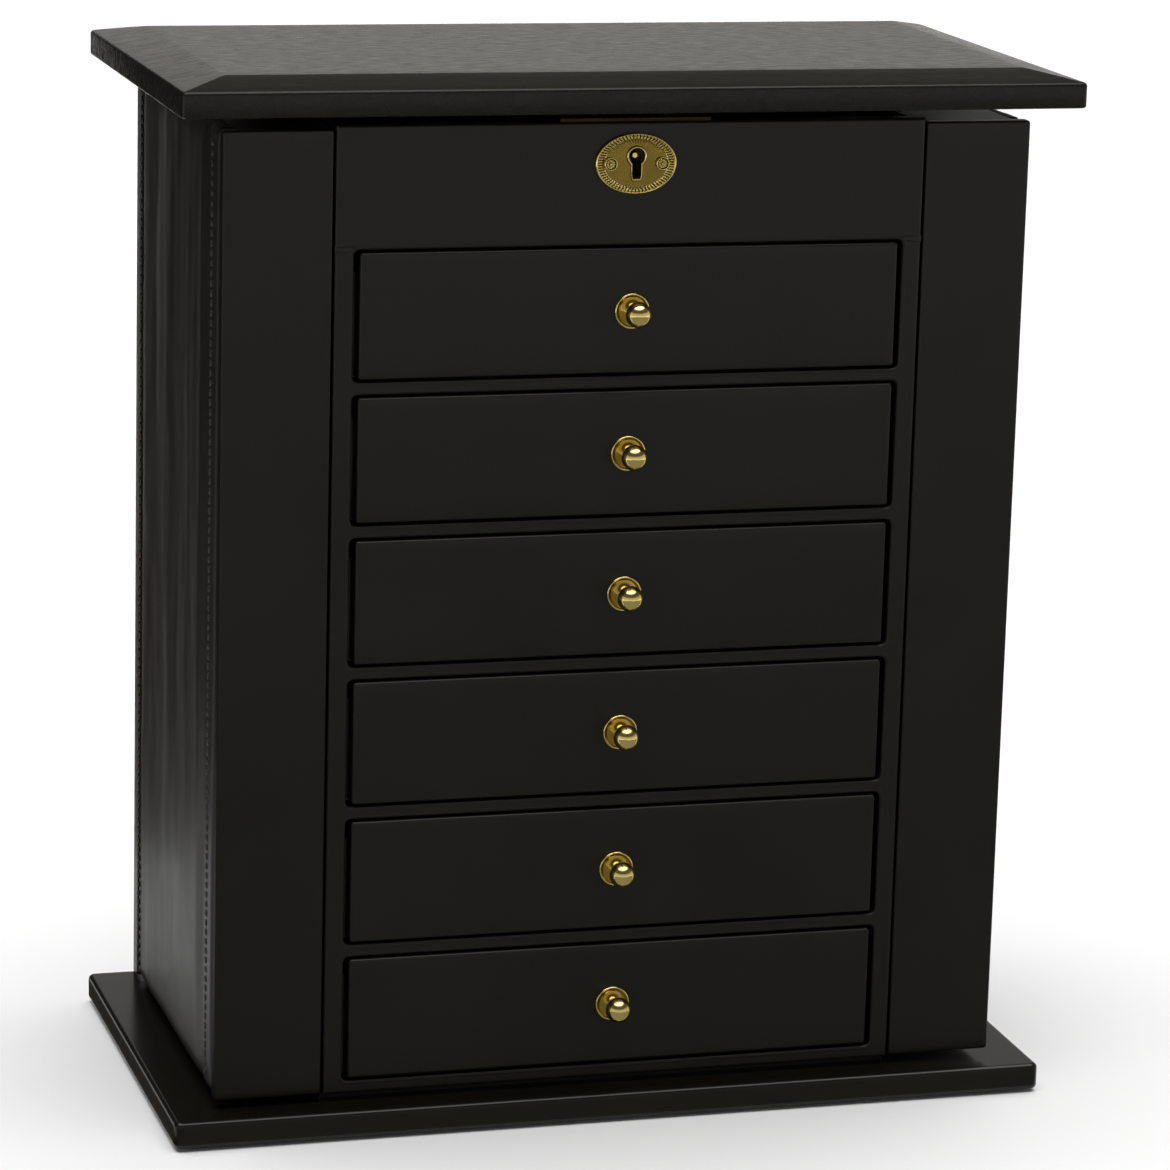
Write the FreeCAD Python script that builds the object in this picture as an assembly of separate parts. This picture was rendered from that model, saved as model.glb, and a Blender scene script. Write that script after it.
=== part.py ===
import FreeCAD, Part
import math
import os

from FreeCAD import Vector

# Tabletop jewelry armoire. Millimetres. +Z is up, the front looks along -Y, +X is the right side.
# The origin is the middle of the footprint at the underside of the felt pads.

# Overall sizes
BODY_W = 268.0              # both doors and the middle, side to side
BODY_D = 150.0              # front plane to the back of the back panel
BODY_H = 326.0              # top of the base board to the underside of the lid
OVERHANG_SIDE = 15.0        # base and lid beyond the body, each side
OVERHANG_FRONT = 11.0       # base and lid beyond the front plane

# Base and feet
BASE_T = 9.0
BASE_CORNER_R = 2.5
BASE_EDGE_R = 1.6
PAD_T = 1.0
PAD_R = 8.0
PAD_INSET = 16.0            # pad centre from each edge of the base

# Lid
LID_EDGE_T = 8.5            # upright edge
LID_RISE = 3.0              # sloped border, edge to flat top
LID_BORDER = 16.0           # width of the sloped border
LID_EDGE_R = 0.7
LID_GAP = 3.8               # body top to lid underside
LID_OPEN_DEG = 95.0

# Side doors
DOOR_W = 35.0
DOOR_GAP = 1.2              # door to the middle of the chest
DOOR_LOWER = 1.4            # door top below the top of the middle
DOOR_RAISE = 3.0            # door bottom above the base
STRIP_T = 5.0
SIDE_PANEL_T = 5.0
PANEL_SEAM = 0.4            # side panel to the front strip
DOOR_BOARD_T = 4.0          # top and bottom boards of a door
POST_T = 8.0                # pivot post, front to back
PIVOT_R = 4.0               # rounded rear corner of the post, about the pivot
BACK_CLEAR = 0.5            # post to back panel
PIVOT_PIN_R = 1.5
PIVOT_PIN_L = 6.0
PIVOT_PLATE_T = 1.2
PIVOT_PLATE_W = 14.0
COLLAR_R = 3.2
COLLAR_CLEAR = 0.1

# Middle of the chest
FRAME_T = 5.0               # face frame and lock panel
STILE_W = 6.0
RAIL_H = 4.2
BOTTOM_RAIL_H = 4.5
SHADOW_GAP = 2.5            # face frame above the base
LOCK_PANEL_H = 39.8         # top of the first opening to the top of the middle
WALL_T = 5.0
BACK_T = 6.0
BACK_INSET = 1.5            # back panel edge inside the door's outer face
DECK_T = 4.0
PANEL_JOINT = 0.3           # lock panel to face frame
OPENING_CORNER_R = 2.0
WRAP_R = 1.1                # rounded edge of a leather-wrapped board

# Drawers
DRAWER_COUNT = 6
FRONT_GAP_Z = 1.2           # drawer front to opening, above and below
FRONT_GAP_X = 2.2           # drawer front to opening, each side
DRAWER_FRONT_T = 8.0
DRAWER_PROUD = 0.8          # drawer front ahead of the face frame
DRAWER_FRONT_R = 1.4
BOX_SIDE_CLEAR = 1.6
BOX_FLOAT = 0.4             # drawer box above its shelf
BOX_TOP_CLEAR = 8.0         # drawer box below the top of its opening
BOX_WALL = 3.0
BOX_FLOOR = 2.5
BOX_BACK_CLEAR = 1.0

# Knobs
KNOB_ROSE_R = 6.0
KNOB_RIM_T = 0.9
KNOB_NECK_R = 2.1
KNOB_NECK_L = 4.6           # rose face to the narrowest part
KNOB_BALL_R = 3.9
FLARE_SAG = 0.2              # hollow of the flare, as a share of its chord
STUD_R = 1.5
STUD_CLEAR = 0.1

# Lock
ESCUTCHEON_W = 27.0
ESCUTCHEON_H = 19.6
ESCUTCHEON_T = 1.2
ESCUTCHEON_DROP = 13.4      # its centre below the top of the lock panel
ESCUTCHEON_PIN_X = 8.6
ESCUTCHEON_PIN_R = 1.7
ESCUTCHEON_PIN_PROUD = 1.3
KEYHOLE_R = 2.1
KEYHOLE_SLOT_W = 3.0
KEYHOLE_SLOT_H = 7.0        # circle centre to the foot of the slot
KEYHOLE_RAISE = 2.4         # circle centre above the escutcheon's centre
DRILL_PIN_R = 0.8
LOCK_PLATE_W = 50.0
LOCK_PLATE_T = 1.0
LOCK_PLATE_SET_BACK = 0.8   # plate behind the front plane
CASE_W = 44.0
CASE_H = 24.0
CASE_DEPTH = 11.0
CASE_WALL = 0.9
EYE_X = 12.0                # strike eyes from the middle
EYE_T = 1.6
EYE_W = 7.4
EYE_DROP = 9.6              # strike plate to the foot of the eye
EYE_HOLE = 4.6
EYE_CLEAR = 0.6
BOLT_THROW = 4.0
BOLT_T = 2.0
BOLT_ARM = 2.0
BOLT_BAR_H = 4.0
BOLT_CLEAR = 0.4

# Lid hinges
LID_HINGE_X = 85.0
LID_HINGE_W = 30.0
LEAF_T = 1.0
LEAF_H = 9.0
BARREL_R = 1.9
BARREL_CLEAR = 0.3          # barrel to the back plane
HINGE_PIN_R = 0.9
HINGE_RUN_CLEAR = 0.05
KNUCKLE_GAP = 0.35

# Inside
TRAY_LINING_T = 1.5
DIVIDER_T = 3.0
DIVIDER_H = 22.0
ROLL_R = 7.0
ROLL_PITCH = 15.0
LINING_GAP = 0.5            # linings, rolls and inner rails from the walls
LID_LINING_T = 2.0
LID_LINING_INSET = 6.0
MIRROR_T = 1.4
MIRROR_INSET = 12.0
HOOK_RAIL_H = 12.0
HOOK_RAIL_T = 4.0
HOOK_COUNT = 5
HOOK_WIRE_R = 0.8
HOOK_REACH = 6.0
HOOK_RISE = 4.0
POCKET_H = 60.0
POCKET_T = 9.0
POCKET_WALL = 1.5
BUMPER_R = 2.0
BUMPER_AIR = 0.3
BUMPER_INSET = 30.0         # bumper centres from the front and the back plane

# Levels worked out from the sizes above
Z_BASE = PAD_T + BASE_T
Z_LID = Z_BASE + BODY_H
Z_TOP = Z_LID - LID_GAP
Z_FRAME = Z_BASE + SHADOW_GAP
Z_OPENING_0 = Z_FRAME + BOTTOM_RAIL_H
Z_DECK = Z_TOP - LOCK_PANEL_H
PITCH = (Z_DECK - Z_OPENING_0 + RAIL_H) / DRAWER_COUNT
OPENING_H = PITCH - RAIL_H
DRAWER_FRONT_H = OPENING_H - 2 * FRONT_GAP_Z
BOX_H = OPENING_H - BOX_FLOAT - BOX_TOP_CLEAR
BARREL_OUT = BARREL_R + BARREL_CLEAR
KNOB_BALL_OUT = KNOB_NECK_L + math.sqrt(KNOB_BALL_R ** 2 - KNOB_NECK_R ** 2)
FRONT_REACH = max(OVERHANG_FRONT, DRAWER_PROUD + KNOB_BALL_OUT + KNOB_BALL_R)
TOTAL_D = FRONT_REACH + BODY_D + BARREL_OUT + BARREL_R
Y_FRONT = FRONT_REACH - TOTAL_D / 2
Y_EDGE = Y_FRONT - OVERHANG_FRONT
Y_BACK = Y_FRONT + BODY_D
Y_BACK_IN = Y_BACK - BACK_T
X_BODY = BODY_W / 2
X_MIDDLE = X_BODY - DOOR_W - DOOR_GAP
X_OPENING = X_MIDDLE - STILE_W
X_WALL_IN = X_MIDDLE - WALL_T
Z_DOOR_0 = Z_BASE + DOOR_RAISE
Z_DOOR_1 = Z_TOP - DOOR_LOWER
X_PIVOT = X_BODY - PIVOT_R
Y_PIVOT = Y_BACK_IN - BACK_CLEAR - PIVOT_R
Y_POST = Y_PIVOT + PIVOT_R - POST_T
Z_HINGE = Z_TOP + LID_GAP / 2
Y_CASE = Y_FRONT + FRAME_T
Z_TRAY = Z_DECK + DECK_T


def box(x0, x1, y0, y1, z0, z1):
    """A box between two corners."""
    return Part.makeBox(x1 - x0, y1 - y0, z1 - z0, Vector(x0, y0, z0))


def rod(radius, start, direction, length):
    """A round bar from a start point along a direction."""
    return Part.makeCylinder(radius, length, start, direction)


def is_upright(edge):
    """True for a straight edge along Z."""
    a = edge.Vertexes[0].Point
    b = edge.Vertexes[-1].Point
    return abs(a.x - b.x) < 1e-6 and abs(a.y - b.y) < 1e-6 and abs(a.z - b.z) > 1e-6


def edges_at_y(shape, y):
    """The edges that lie wholly in the plane at depth y."""
    return [e for e in shape.Edges if all(abs(v.Point.y - y) < 1e-6 for v in e.Vertexes)]


def edges_at_z(shape, z):
    """The edges that lie wholly in the plane at height z."""
    return [e for e in shape.Edges if all(abs(v.Point.z - z) < 1e-6 for v in e.Vertexes)]


def rounded_slab(x0, x1, y0, y1, z0, z1, corner_r, edge_r):
    """A board with rounded upright corners and softened upper and lower edges."""
    slab = box(x0, x1, y0, y1, z0, z1)
    slab = slab.makeFillet(corner_r, [e for e in slab.Edges if is_upright(e)])
    return slab.makeFillet(edge_r, edges_at_z(slab, z0) + edges_at_z(slab, z1))


def wrapped_board(x0, x1, y0, y1, z0, z1, radius):
    """A board whose front face has soft leather-wrapped edges."""
    board = box(x0, x1, y0, y1, z0, z1)
    return board.makeFillet(radius, edges_at_y(board, y0))


def mirrored(shape):
    """The same piece for the other side of the chest."""
    return shape.mirror(Vector(0, 0, 0), Vector(1, 0, 0))


def opening_z(number):
    """The foot of a drawer opening, counted from 1 at the top."""
    return Z_OPENING_0 + (DRAWER_COUNT - number) * PITCH


# ---- base, walls and frame -------------------------------------------------------------------

def base_board():
    x = X_BODY + OVERHANG_SIDE
    board = rounded_slab(-x, x, Y_EDGE, Y_BACK, PAD_T, Z_BASE, BASE_CORNER_R, BASE_EDGE_R)
    for side in (-1, 1):
        foot = Vector(side * X_PIVOT, Y_PIVOT, Z_BASE - PIVOT_PIN_L)
        board = board.cut(rod(PIVOT_PIN_R, foot, Vector(0, 0, 1), PIVOT_PIN_L))
    return board


def foot_pads():
    x = X_BODY + OVERHANG_SIDE - PAD_INSET
    ys = (Y_EDGE + PAD_INSET, Y_BACK - PAD_INSET)
    pads = [rod(PAD_R, Vector(side * x, y, 0), Vector(0, 0, 1), PAD_T) for side in (-1, 1) for y in ys]
    return Part.makeCompound(pads)


def back_panel():
    x = X_BODY - BACK_INSET
    return box(-x, x, Y_BACK_IN, Y_BACK, Z_BASE, Z_TOP)


def inner_wall_left():
    return box(-X_MIDDLE, -X_WALL_IN, Y_FRONT + FRAME_T, Y_BACK_IN, Z_BASE, Z_TOP)


def floor_panel():
    return box(-X_WALL_IN, X_WALL_IN, Y_FRONT + FRAME_T, Y_BACK_IN, Z_BASE, Z_OPENING_0)


def drawer_shelves():
    shelves = []
    for number in range(1, DRAWER_COUNT):
        top = opening_z(number)
        shelves.append(box(-X_WALL_IN, X_WALL_IN, Y_FRONT + FRAME_T, Y_BACK_IN, top - RAIL_H, top))
    return Part.makeCompound(shelves)


def tray_deck():
    return box(-X_WALL_IN, X_WALL_IN, Y_FRONT + FRAME_T, Y_BACK_IN, Z_DECK, Z_TRAY)


def face_frame():
    frame = box(-X_MIDDLE, X_MIDDLE, Y_FRONT, Y_FRONT + FRAME_T, Z_FRAME, Z_DECK)
    for number in range(1, DRAWER_COUNT + 1):
        z = opening_z(number)
        hole = box(-X_OPENING, X_OPENING, Y_FRONT - 1, Y_FRONT + FRAME_T + 1, z, z + OPENING_H)
        frame = frame.cut(hole.makeFillet(OPENING_CORNER_R, [e for e in hole.Edges if edge_is_across(e)]))
    return frame.makeFillet(WRAP_R, edges_at_y(frame, Y_FRONT))


def edge_is_across(edge):
    """True for a straight edge along Y."""
    a = edge.Vertexes[0].Point
    b = edge.Vertexes[-1].Point
    return abs(a.x - b.x) < 1e-6 and abs(a.z - b.z) < 1e-6 and abs(a.y - b.y) > 1e-6


def keyhole(y0, y1):
    """A round hole with a slot below it, through a plate between two depths."""
    z = Z_TOP - ESCUTCHEON_DROP + KEYHOLE_RAISE
    hole = rod(KEYHOLE_R, Vector(0, y0, z), Vector(0, 1, 0), y1 - y0)
    slot = box(-KEYHOLE_SLOT_W / 2, KEYHOLE_SLOT_W / 2, y0, y1, z - KEYHOLE_SLOT_H, z)
    return hole.fuse(slot).removeSplitter()


def lock_panel():
    z0 = Z_DECK + PANEL_JOINT
    panel = wrapped_board(-X_MIDDLE, X_MIDDLE, Y_FRONT, Y_FRONT + FRAME_T, z0, Z_TOP, WRAP_R)
    panel = panel.cut(keyhole(Y_FRONT - 1, Y_FRONT + FRAME_T + 1))
    for side in (-1, 1):
        start = Vector(side * ESCUTCHEON_PIN_X, Y_FRONT - 1, Z_TOP - ESCUTCHEON_DROP)
        panel = panel.cut(rod(ESCUTCHEON_PIN_R / 2, start, Vector(0, 1, 0), FRAME_T))
    return panel


# ---- lock ------------------------------------------------------------------------------------

def escutcheon():
    rise = ESCUTCHEON_H / ESCUTCHEON_W
    centre = Vector(0, 0, 0)
    outer = rod(ESCUTCHEON_W / 2, centre, Vector(0, 1, 0), ESCUTCHEON_T)
    stretch = FreeCAD.Matrix()
    stretch.scale(1.0, 1.0, rise)
    plate = outer.transformGeometry(stretch)
    plate.translate(Vector(0, Y_FRONT - ESCUTCHEON_T, Z_TOP - ESCUTCHEON_DROP))
    plate = plate.cut(keyhole(Y_FRONT - ESCUTCHEON_T - 1, Y_FRONT + 1))
    for side in (-1, 1):
        start = Vector(side * ESCUTCHEON_PIN_X, Y_FRONT - ESCUTCHEON_T - 1, Z_TOP - ESCUTCHEON_DROP)
        plate = plate.cut(rod(ESCUTCHEON_PIN_R / 2, start, Vector(0, 1, 0), ESCUTCHEON_T + 2))
    return plate


def escutcheon_pins():
    """Two small round-headed nails through the escutcheon into the lock panel."""
    pins = []
    for side in (-1, 1):
        x = side * ESCUTCHEON_PIN_X
        z = Z_TOP - ESCUTCHEON_DROP
        y = Y_FRONT - ESCUTCHEON_T
        shank = rod(ESCUTCHEON_PIN_R / 2, Vector(x, y, z), Vector(0, 1, 0), ESCUTCHEON_T + FRAME_T - 1.5)
        dome_r = (ESCUTCHEON_PIN_R ** 2 + ESCUTCHEON_PIN_PROUD ** 2) / (2 * ESCUTCHEON_PIN_PROUD)
        dome = Part.makeSphere(dome_r, Vector(x, y - ESCUTCHEON_PIN_PROUD + dome_r, z))
        reach = 2 * dome_r
        head = dome.common(box(x - reach, x + reach, y - reach, y, z - reach, z + reach))
        pins.append(head.fuse(shank).removeSplitter())
    return Part.makeCompound(pins)


def eye_slots(z0, z1):
    """The two slots that the strike's eyes drop through."""
    y = eye_y()
    w = EYE_W / 2 + EYE_CLEAR
    t = EYE_T / 2 + EYE_CLEAR
    slots = [box(s * EYE_X - t, s * EYE_X + t, y - w, y + w, z0, z1) for s in (-1, 1)]
    return slots[0].fuse(slots[1])


def eye_y():
    """The depth of the middle of the lock case."""
    return Y_CASE + CASE_DEPTH / 2


def lock_case():
    z1 = Z_TOP
    shell = box(-CASE_W / 2, CASE_W / 2, Y_CASE, Y_CASE + CASE_DEPTH, z1 - CASE_H, z1)
    hollow = box(-CASE_W / 2 + CASE_WALL, CASE_W / 2 - CASE_WALL, Y_CASE + CASE_WALL,
                 Y_CASE + CASE_DEPTH - CASE_WALL, z1 - CASE_H + CASE_WALL, z1 - CASE_WALL)
    shell = shell.cut(hollow)
    shell = shell.cut(keyhole(Y_CASE - 1, Y_CASE + 2 * CASE_WALL))
    shell = shell.cut(eye_slots(z1 - 2 * CASE_WALL, z1 + 1))
    z = Z_TOP - ESCUTCHEON_DROP + KEYHOLE_RAISE
    pin = rod(DRILL_PIN_R, Vector(0, Y_FRONT + 1.0, z), Vector(0, 1, 0), FRAME_T + CASE_DEPTH - 1.5)
    return shell.fuse(pin)


def lock_plate():
    w = LOCK_PLATE_W / 2
    y0 = Y_FRONT + LOCK_PLATE_SET_BACK
    plate = box(-w, w, y0, Y_CASE + CASE_DEPTH, Z_TOP, Z_TOP + LOCK_PLATE_T)
    return plate.cut(eye_slots(Z_TOP - 1, Z_TOP + LOCK_PLATE_T + 1))


def lock_bolt():
    """A sliding bar with two fingers that enter the strike's eyes when it is thrown to the right."""
    y0 = eye_y() - BOLT_T / 2
    y1 = y0 + BOLT_T
    z_eye = Z_LID - LOCK_PLATE_T - EYE_DROP + EYE_T + EYE_HOLE / 2
    z_finger = z_eye - BOLT_T / 2
    z0 = Z_TOP - CASE_H + CASE_WALL + BOLT_CLEAR
    finger_l = BOLT_ARM + BOLT_THROW + BOLT_CLEAR
    tips = [side * EYE_X - EYE_T / 2 - BOLT_CLEAR for side in (-1, 1)]
    bar = box(tips[0] - finger_l, tips[1] - finger_l + BOLT_ARM, y0, y1, z0, z0 + BOLT_BAR_H)
    for tip in tips:
        bar = bar.fuse(box(tip - finger_l, tip - finger_l + BOLT_ARM, y0, y1, z0, z_finger + BOLT_T))
        bar = bar.fuse(box(tip - finger_l, tip, y0, y1, z_finger, z_finger + BOLT_T))
    return bar.removeSplitter()


def strike_plate():
    w = LOCK_PLATE_W / 2
    y0 = Y_FRONT + LOCK_PLATE_SET_BACK
    z1 = Z_LID
    plate = box(-w, w, y0, Y_CASE + CASE_DEPTH, z1 - LOCK_PLATE_T, z1)
    y = eye_y()
    for side in (-1, 1):
        x = side * EYE_X
        foot = z1 - LOCK_PLATE_T - EYE_DROP
        eye = box(x - EYE_T / 2, x + EYE_T / 2, y - EYE_W / 2, y + EYE_W / 2, foot, z1 - LOCK_PLATE_T)
        hole = box(x - EYE_T, x + EYE_T, y - EYE_HOLE / 2, y + EYE_HOLE / 2, foot + EYE_T,
                   foot + EYE_T + EYE_HOLE)
        plate = plate.fuse(eye.cut(hole))
    return plate.removeSplitter()


# ---- lid and its hinges ----------------------------------------------------------------------

def lid_board():
    x = X_BODY + OVERHANG_SIDE
    z1 = Z_LID + LID_EDGE_T
    edge = box(-x, x, Y_EDGE, Y_BACK, Z_LID, z1)
    low = Part.makePolygon([Vector(-x, Y_EDGE, z1), Vector(x, Y_EDGE, z1), Vector(x, Y_BACK, z1),
                            Vector(-x, Y_BACK, z1), Vector(-x, Y_EDGE, z1)])
    b = LID_BORDER
    z2 = z1 + LID_RISE
    high = Part.makePolygon([Vector(-x + b, Y_EDGE + b, z2), Vector(x - b, Y_EDGE + b, z2),
                             Vector(x - b, Y_BACK - b, z2), Vector(-x + b, Y_BACK - b, z2),
                             Vector(-x + b, Y_EDGE + b, z2)])
    crown = Part.makeLoft([low, high], True, True)
    board = edge.fuse(crown).removeSplitter()
    upright = [e for e in board.Edges if is_upright(e)]
    board = board.makeFillet(LID_EDGE_R, upright + edges_at_z(board, Z_LID) + edges_at_z(board, z1))
    return board


def hinge_barrel(x0, x1, bore_r):
    """One knuckle of a lid hinge, around the pin."""
    start = Vector(x0, Y_BACK + BARREL_OUT, Z_HINGE)
    knuckle = rod(BARREL_R, start, Vector(1, 0, 0), x1 - x0)
    return knuckle.cut(rod(bore_r, start, Vector(1, 0, 0), x1 - x0))


def hinge_leaf_plate(x0, x1, z0, z1):
    """A flat hinge leaf against the back, clear of the pin's bore."""
    return box(x0, x1, Y_BACK, Y_BACK + LEAF_T, z0, z1)


def lid_hinge_base_left():
    """The chest's leaf with its two outer knuckles and the pin riveted in them."""
    x0 = -LID_HINGE_X - LID_HINGE_W / 2
    x1 = x0 + LID_HINGE_W
    third = LID_HINGE_W / 3
    leaf = hinge_leaf_plate(x0, x1, Z_HINGE - BARREL_R - LEAF_H, Z_HINGE - BARREL_R - KNUCKLE_GAP)
    for a, b in ((x0, x0 + third), (x1 - third, x1)):
        leaf = leaf.fuse(hinge_leaf_plate(a, b, Z_HINGE - BARREL_R - KNUCKLE_GAP - 1, Z_HINGE))
        leaf = leaf.fuse(rod(BARREL_R, Vector(a, Y_BACK + BARREL_OUT, Z_HINGE), Vector(1, 0, 0), b - a))
    pin = rod(HINGE_PIN_R, Vector(x0, Y_BACK + BARREL_OUT, Z_HINGE), Vector(1, 0, 0), LID_HINGE_W)
    return leaf.fuse(pin).removeSplitter()


def lid_hinge_leaf_left():
    """The lid's leaf with its middle knuckle."""
    third = LID_HINGE_W / 3
    x0 = -LID_HINGE_X - LID_HINGE_W / 2
    a = x0 + third + KNUCKLE_GAP
    b = x0 + 2 * third - KNUCKLE_GAP
    leaf = hinge_leaf_plate(x0, x0 + LID_HINGE_W, Z_HINGE + BARREL_R + KNUCKLE_GAP,
                            Z_HINGE + BARREL_R + KNUCKLE_GAP + LEAF_H - 2.5)
    neck = hinge_leaf_plate(a, b, Z_HINGE, Z_HINGE + BARREL_R + KNUCKLE_GAP)
    return leaf.fuse(neck).fuse(hinge_barrel(a, b, HINGE_PIN_R + HINGE_RUN_CLEAR)).removeSplitter()


def lid_lining():
    x = X_WALL_IN - LID_LINING_INSET
    y0 = Y_CASE + CASE_DEPTH + LID_LINING_INSET
    y1 = Y_BACK_IN - LID_LINING_INSET
    return box(-x, x, y0, y1, Z_LID - LID_LINING_T, Z_LID)


def mirror_glass():
    x = X_WALL_IN - LID_LINING_INSET - MIRROR_INSET
    y0 = Y_CASE + CASE_DEPTH + LID_LINING_INSET + MIRROR_INSET
    y1 = Y_BACK_IN - LID_LINING_INSET - MIRROR_INSET
    z1 = Z_LID - LID_LINING_T
    return box(-x, x, y0, y1, z1 - MIRROR_T, z1)


def lid_bumpers():
    """Small felt dots on the walls that the lid comes down on."""
    x = (X_MIDDLE + X_WALL_IN) / 2
    height = LID_GAP - BUMPER_AIR
    ys = (Y_FRONT + BUMPER_INSET, Y_BACK - BUMPER_INSET)
    dots = [rod(BUMPER_R, Vector(s * x, y, Z_TOP), Vector(0, 0, 1), height) for s in (-1, 1) for y in ys]
    return Part.makeCompound(dots)


# ---- top tray --------------------------------------------------------------------------------

def tray_lining():
    x = X_WALL_IN - LINING_GAP
    return box(-x, x, Y_CASE + LINING_GAP, Y_BACK_IN - LINING_GAP, Z_TRAY, Z_TRAY + TRAY_LINING_T)


def tray_floor_z():
    """The top of the lining in the tray."""
    return Z_TRAY + TRAY_LINING_T


def tray_divider():
    """A wall from front to back at the middle, and a cross wall in the right half."""
    t = DIVIDER_T / 2
    z0 = tray_floor_z()
    y_mid = (Y_CASE + CASE_DEPTH + Y_BACK_IN) / 2
    y0 = Y_CASE + CASE_DEPTH + LINING_GAP
    spine = box(-t, t, y0, Y_BACK_IN - LINING_GAP, z0, z0 + DIVIDER_H)
    cross = box(t, X_WALL_IN - LINING_GAP, y_mid - t, y_mid + t, z0, z0 + DIVIDER_H)
    return spine.fuse(cross).removeSplitter()


def ring_rolls():
    """Padded rolls side by side; a ring sits between two of them."""
    x0 = -X_WALL_IN + LINING_GAP
    x1 = -DIVIDER_T / 2 - LINING_GAP
    y0 = Y_CASE + CASE_DEPTH + LINING_GAP
    y1 = Y_BACK_IN - LINING_GAP
    count = int((y1 - y0) // ROLL_PITCH)
    z = tray_floor_z() + ROLL_R
    start = (y0 + y1) / 2 - (count - 1) * ROLL_PITCH / 2
    rolls = [rod(ROLL_R, Vector(x0, start + i * ROLL_PITCH, z), Vector(1, 0, 0), x1 - x0) for i in range(count)]
    return Part.makeCompound(rolls)


# ---- side doors ------------------------------------------------------------------------------

def door_front_left():
    return wrapped_board(-X_BODY, -X_BODY + DOOR_W, Y_FRONT, Y_FRONT + STRIP_T, Z_DOOR_0, Z_DOOR_1, WRAP_R)


def door_side_left():
    """The padded leather side panel between the front strip and the pivot post."""
    panel = box(-X_BODY, -X_BODY + SIDE_PANEL_T, Y_FRONT + STRIP_T + PANEL_SEAM, Y_POST, Z_DOOR_0, Z_DOOR_1)
    outer = [e for e in panel.Edges if all(abs(v.Point.x + X_BODY) < 1e-6 for v in e.Vertexes)]
    return panel.makeFillet(WRAP_R, outer)


def door_frame_left():
    """Pivot post at the rear with boards along the top and the bottom."""
    x1 = -X_BODY + DOOR_W
    y1 = Y_PIVOT + PIVOT_R
    post = box(-X_BODY, x1, Y_POST, y1, Z_DOOR_0, Z_DOOR_1)
    corner = [e for e in post.Edges if is_upright(e) and abs(e.Vertexes[0].Point.x + X_BODY) < 1e-6
              and abs(e.Vertexes[0].Point.y - y1) < 1e-6]
    post = post.makeFillet(PIVOT_R - 0.01, corner)
    x0 = -X_BODY + SIDE_PANEL_T
    y0 = Y_FRONT + STRIP_T
    frame = post
    for z0 in (Z_DOOR_0, Z_DOOR_1 - DOOR_BOARD_T):
        frame = frame.fuse(box(x0, x1, y0, Y_POST, z0, z0 + DOOR_BOARD_T))
    bore = PIVOT_PIN_R + HINGE_RUN_CLEAR
    depth = PIVOT_PIN_L + COLLAR_CLEAR
    low = Vector(-X_PIVOT, Y_PIVOT, Z_DOOR_0)
    high = Vector(-X_PIVOT, Y_PIVOT, Z_DOOR_1 - depth)
    for start in (low, high):
        frame = frame.cut(rod(bore, start, Vector(0, 0, 1), depth))
    return frame.removeSplitter()


def door_pivot_bottom_left():
    """A steel pin pressed in the base, with a collar that the door stands on."""
    at = Vector(-X_PIVOT, Y_PIVOT, Z_BASE - PIVOT_PIN_L)
    pin = rod(PIVOT_PIN_R, at, Vector(0, 0, 1), PIVOT_PIN_L + DOOR_RAISE + PIVOT_PIN_L - COLLAR_CLEAR)
    collar = rod(COLLAR_R, Vector(-X_PIVOT, Y_PIVOT, Z_BASE), Vector(0, 0, 1), DOOR_RAISE - COLLAR_CLEAR)
    return pin.fuse(collar).removeSplitter()


def door_pivot_top_left():
    """A plate on top of the back panel with a pin down into the door."""
    x0 = -X_BODY + BACK_INSET
    plate = box(x0, x0 + PIVOT_PLATE_W, Y_PIVOT - PIVOT_R, Y_BACK - 1.0, Z_TOP, Z_TOP + PIVOT_PLATE_T)
    length = DOOR_LOWER + PIVOT_PIN_L - COLLAR_CLEAR
    pin = rod(PIVOT_PIN_R, Vector(-X_PIVOT, Y_PIVOT, Z_TOP - length), Vector(0, 0, 1), length + 0.5)
    return plate.fuse(pin).removeSplitter()


def door_hooks_left():
    """A rail under the door's top board with a row of brass hooks for necklaces."""
    x0 = -X_BODY + SIDE_PANEL_T
    z1 = Z_DOOR_1 - DOOR_BOARD_T - LINING_GAP
    y0 = Y_FRONT + STRIP_T
    rail = box(x0, x0 + HOOK_RAIL_T, y0, Y_POST, z1 - HOOK_RAIL_H, z1)
    spacing = (Y_POST - y0) / HOOK_COUNT
    x_tip = x0 + HOOK_RAIL_T + HOOK_REACH
    z = z1 - HOOK_RAIL_H / 2
    for i in range(HOOK_COUNT):
        y = y0 + (i + 0.5) * spacing
        reach = rod(HOOK_WIRE_R, Vector(x0 + 1.0, y, z), Vector(1, 0, 0), HOOK_RAIL_T + HOOK_REACH - 1.0)
        rise = rod(HOOK_WIRE_R, Vector(x_tip, y, z), Vector(0, 0, 1), HOOK_RISE)
        elbow = Part.makeSphere(HOOK_WIRE_R, Vector(x_tip, y, z))
        rail = rail.fuse(reach).fuse(elbow).fuse(rise)
    return rail.removeSplitter()


def door_pocket_left():
    """An open-topped pouch at the foot of the door that catches the chains."""
    x0 = -X_BODY + SIDE_PANEL_T
    y0 = Y_FRONT + STRIP_T
    z0 = Z_DOOR_0 + DOOR_BOARD_T
    pouch = box(x0, x0 + POCKET_T, y0, Y_POST, z0, z0 + POCKET_H)
    w = POCKET_WALL
    return pouch.cut(box(x0 + w, x0 + POCKET_T - w, y0 + w, Y_POST - w, z0 + w, z0 + POCKET_H + 1))


# ---- drawers ---------------------------------------------------------------------------------

def knob_y():
    """The face of a drawer front."""
    return Y_FRONT - DRAWER_PROUD


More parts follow.
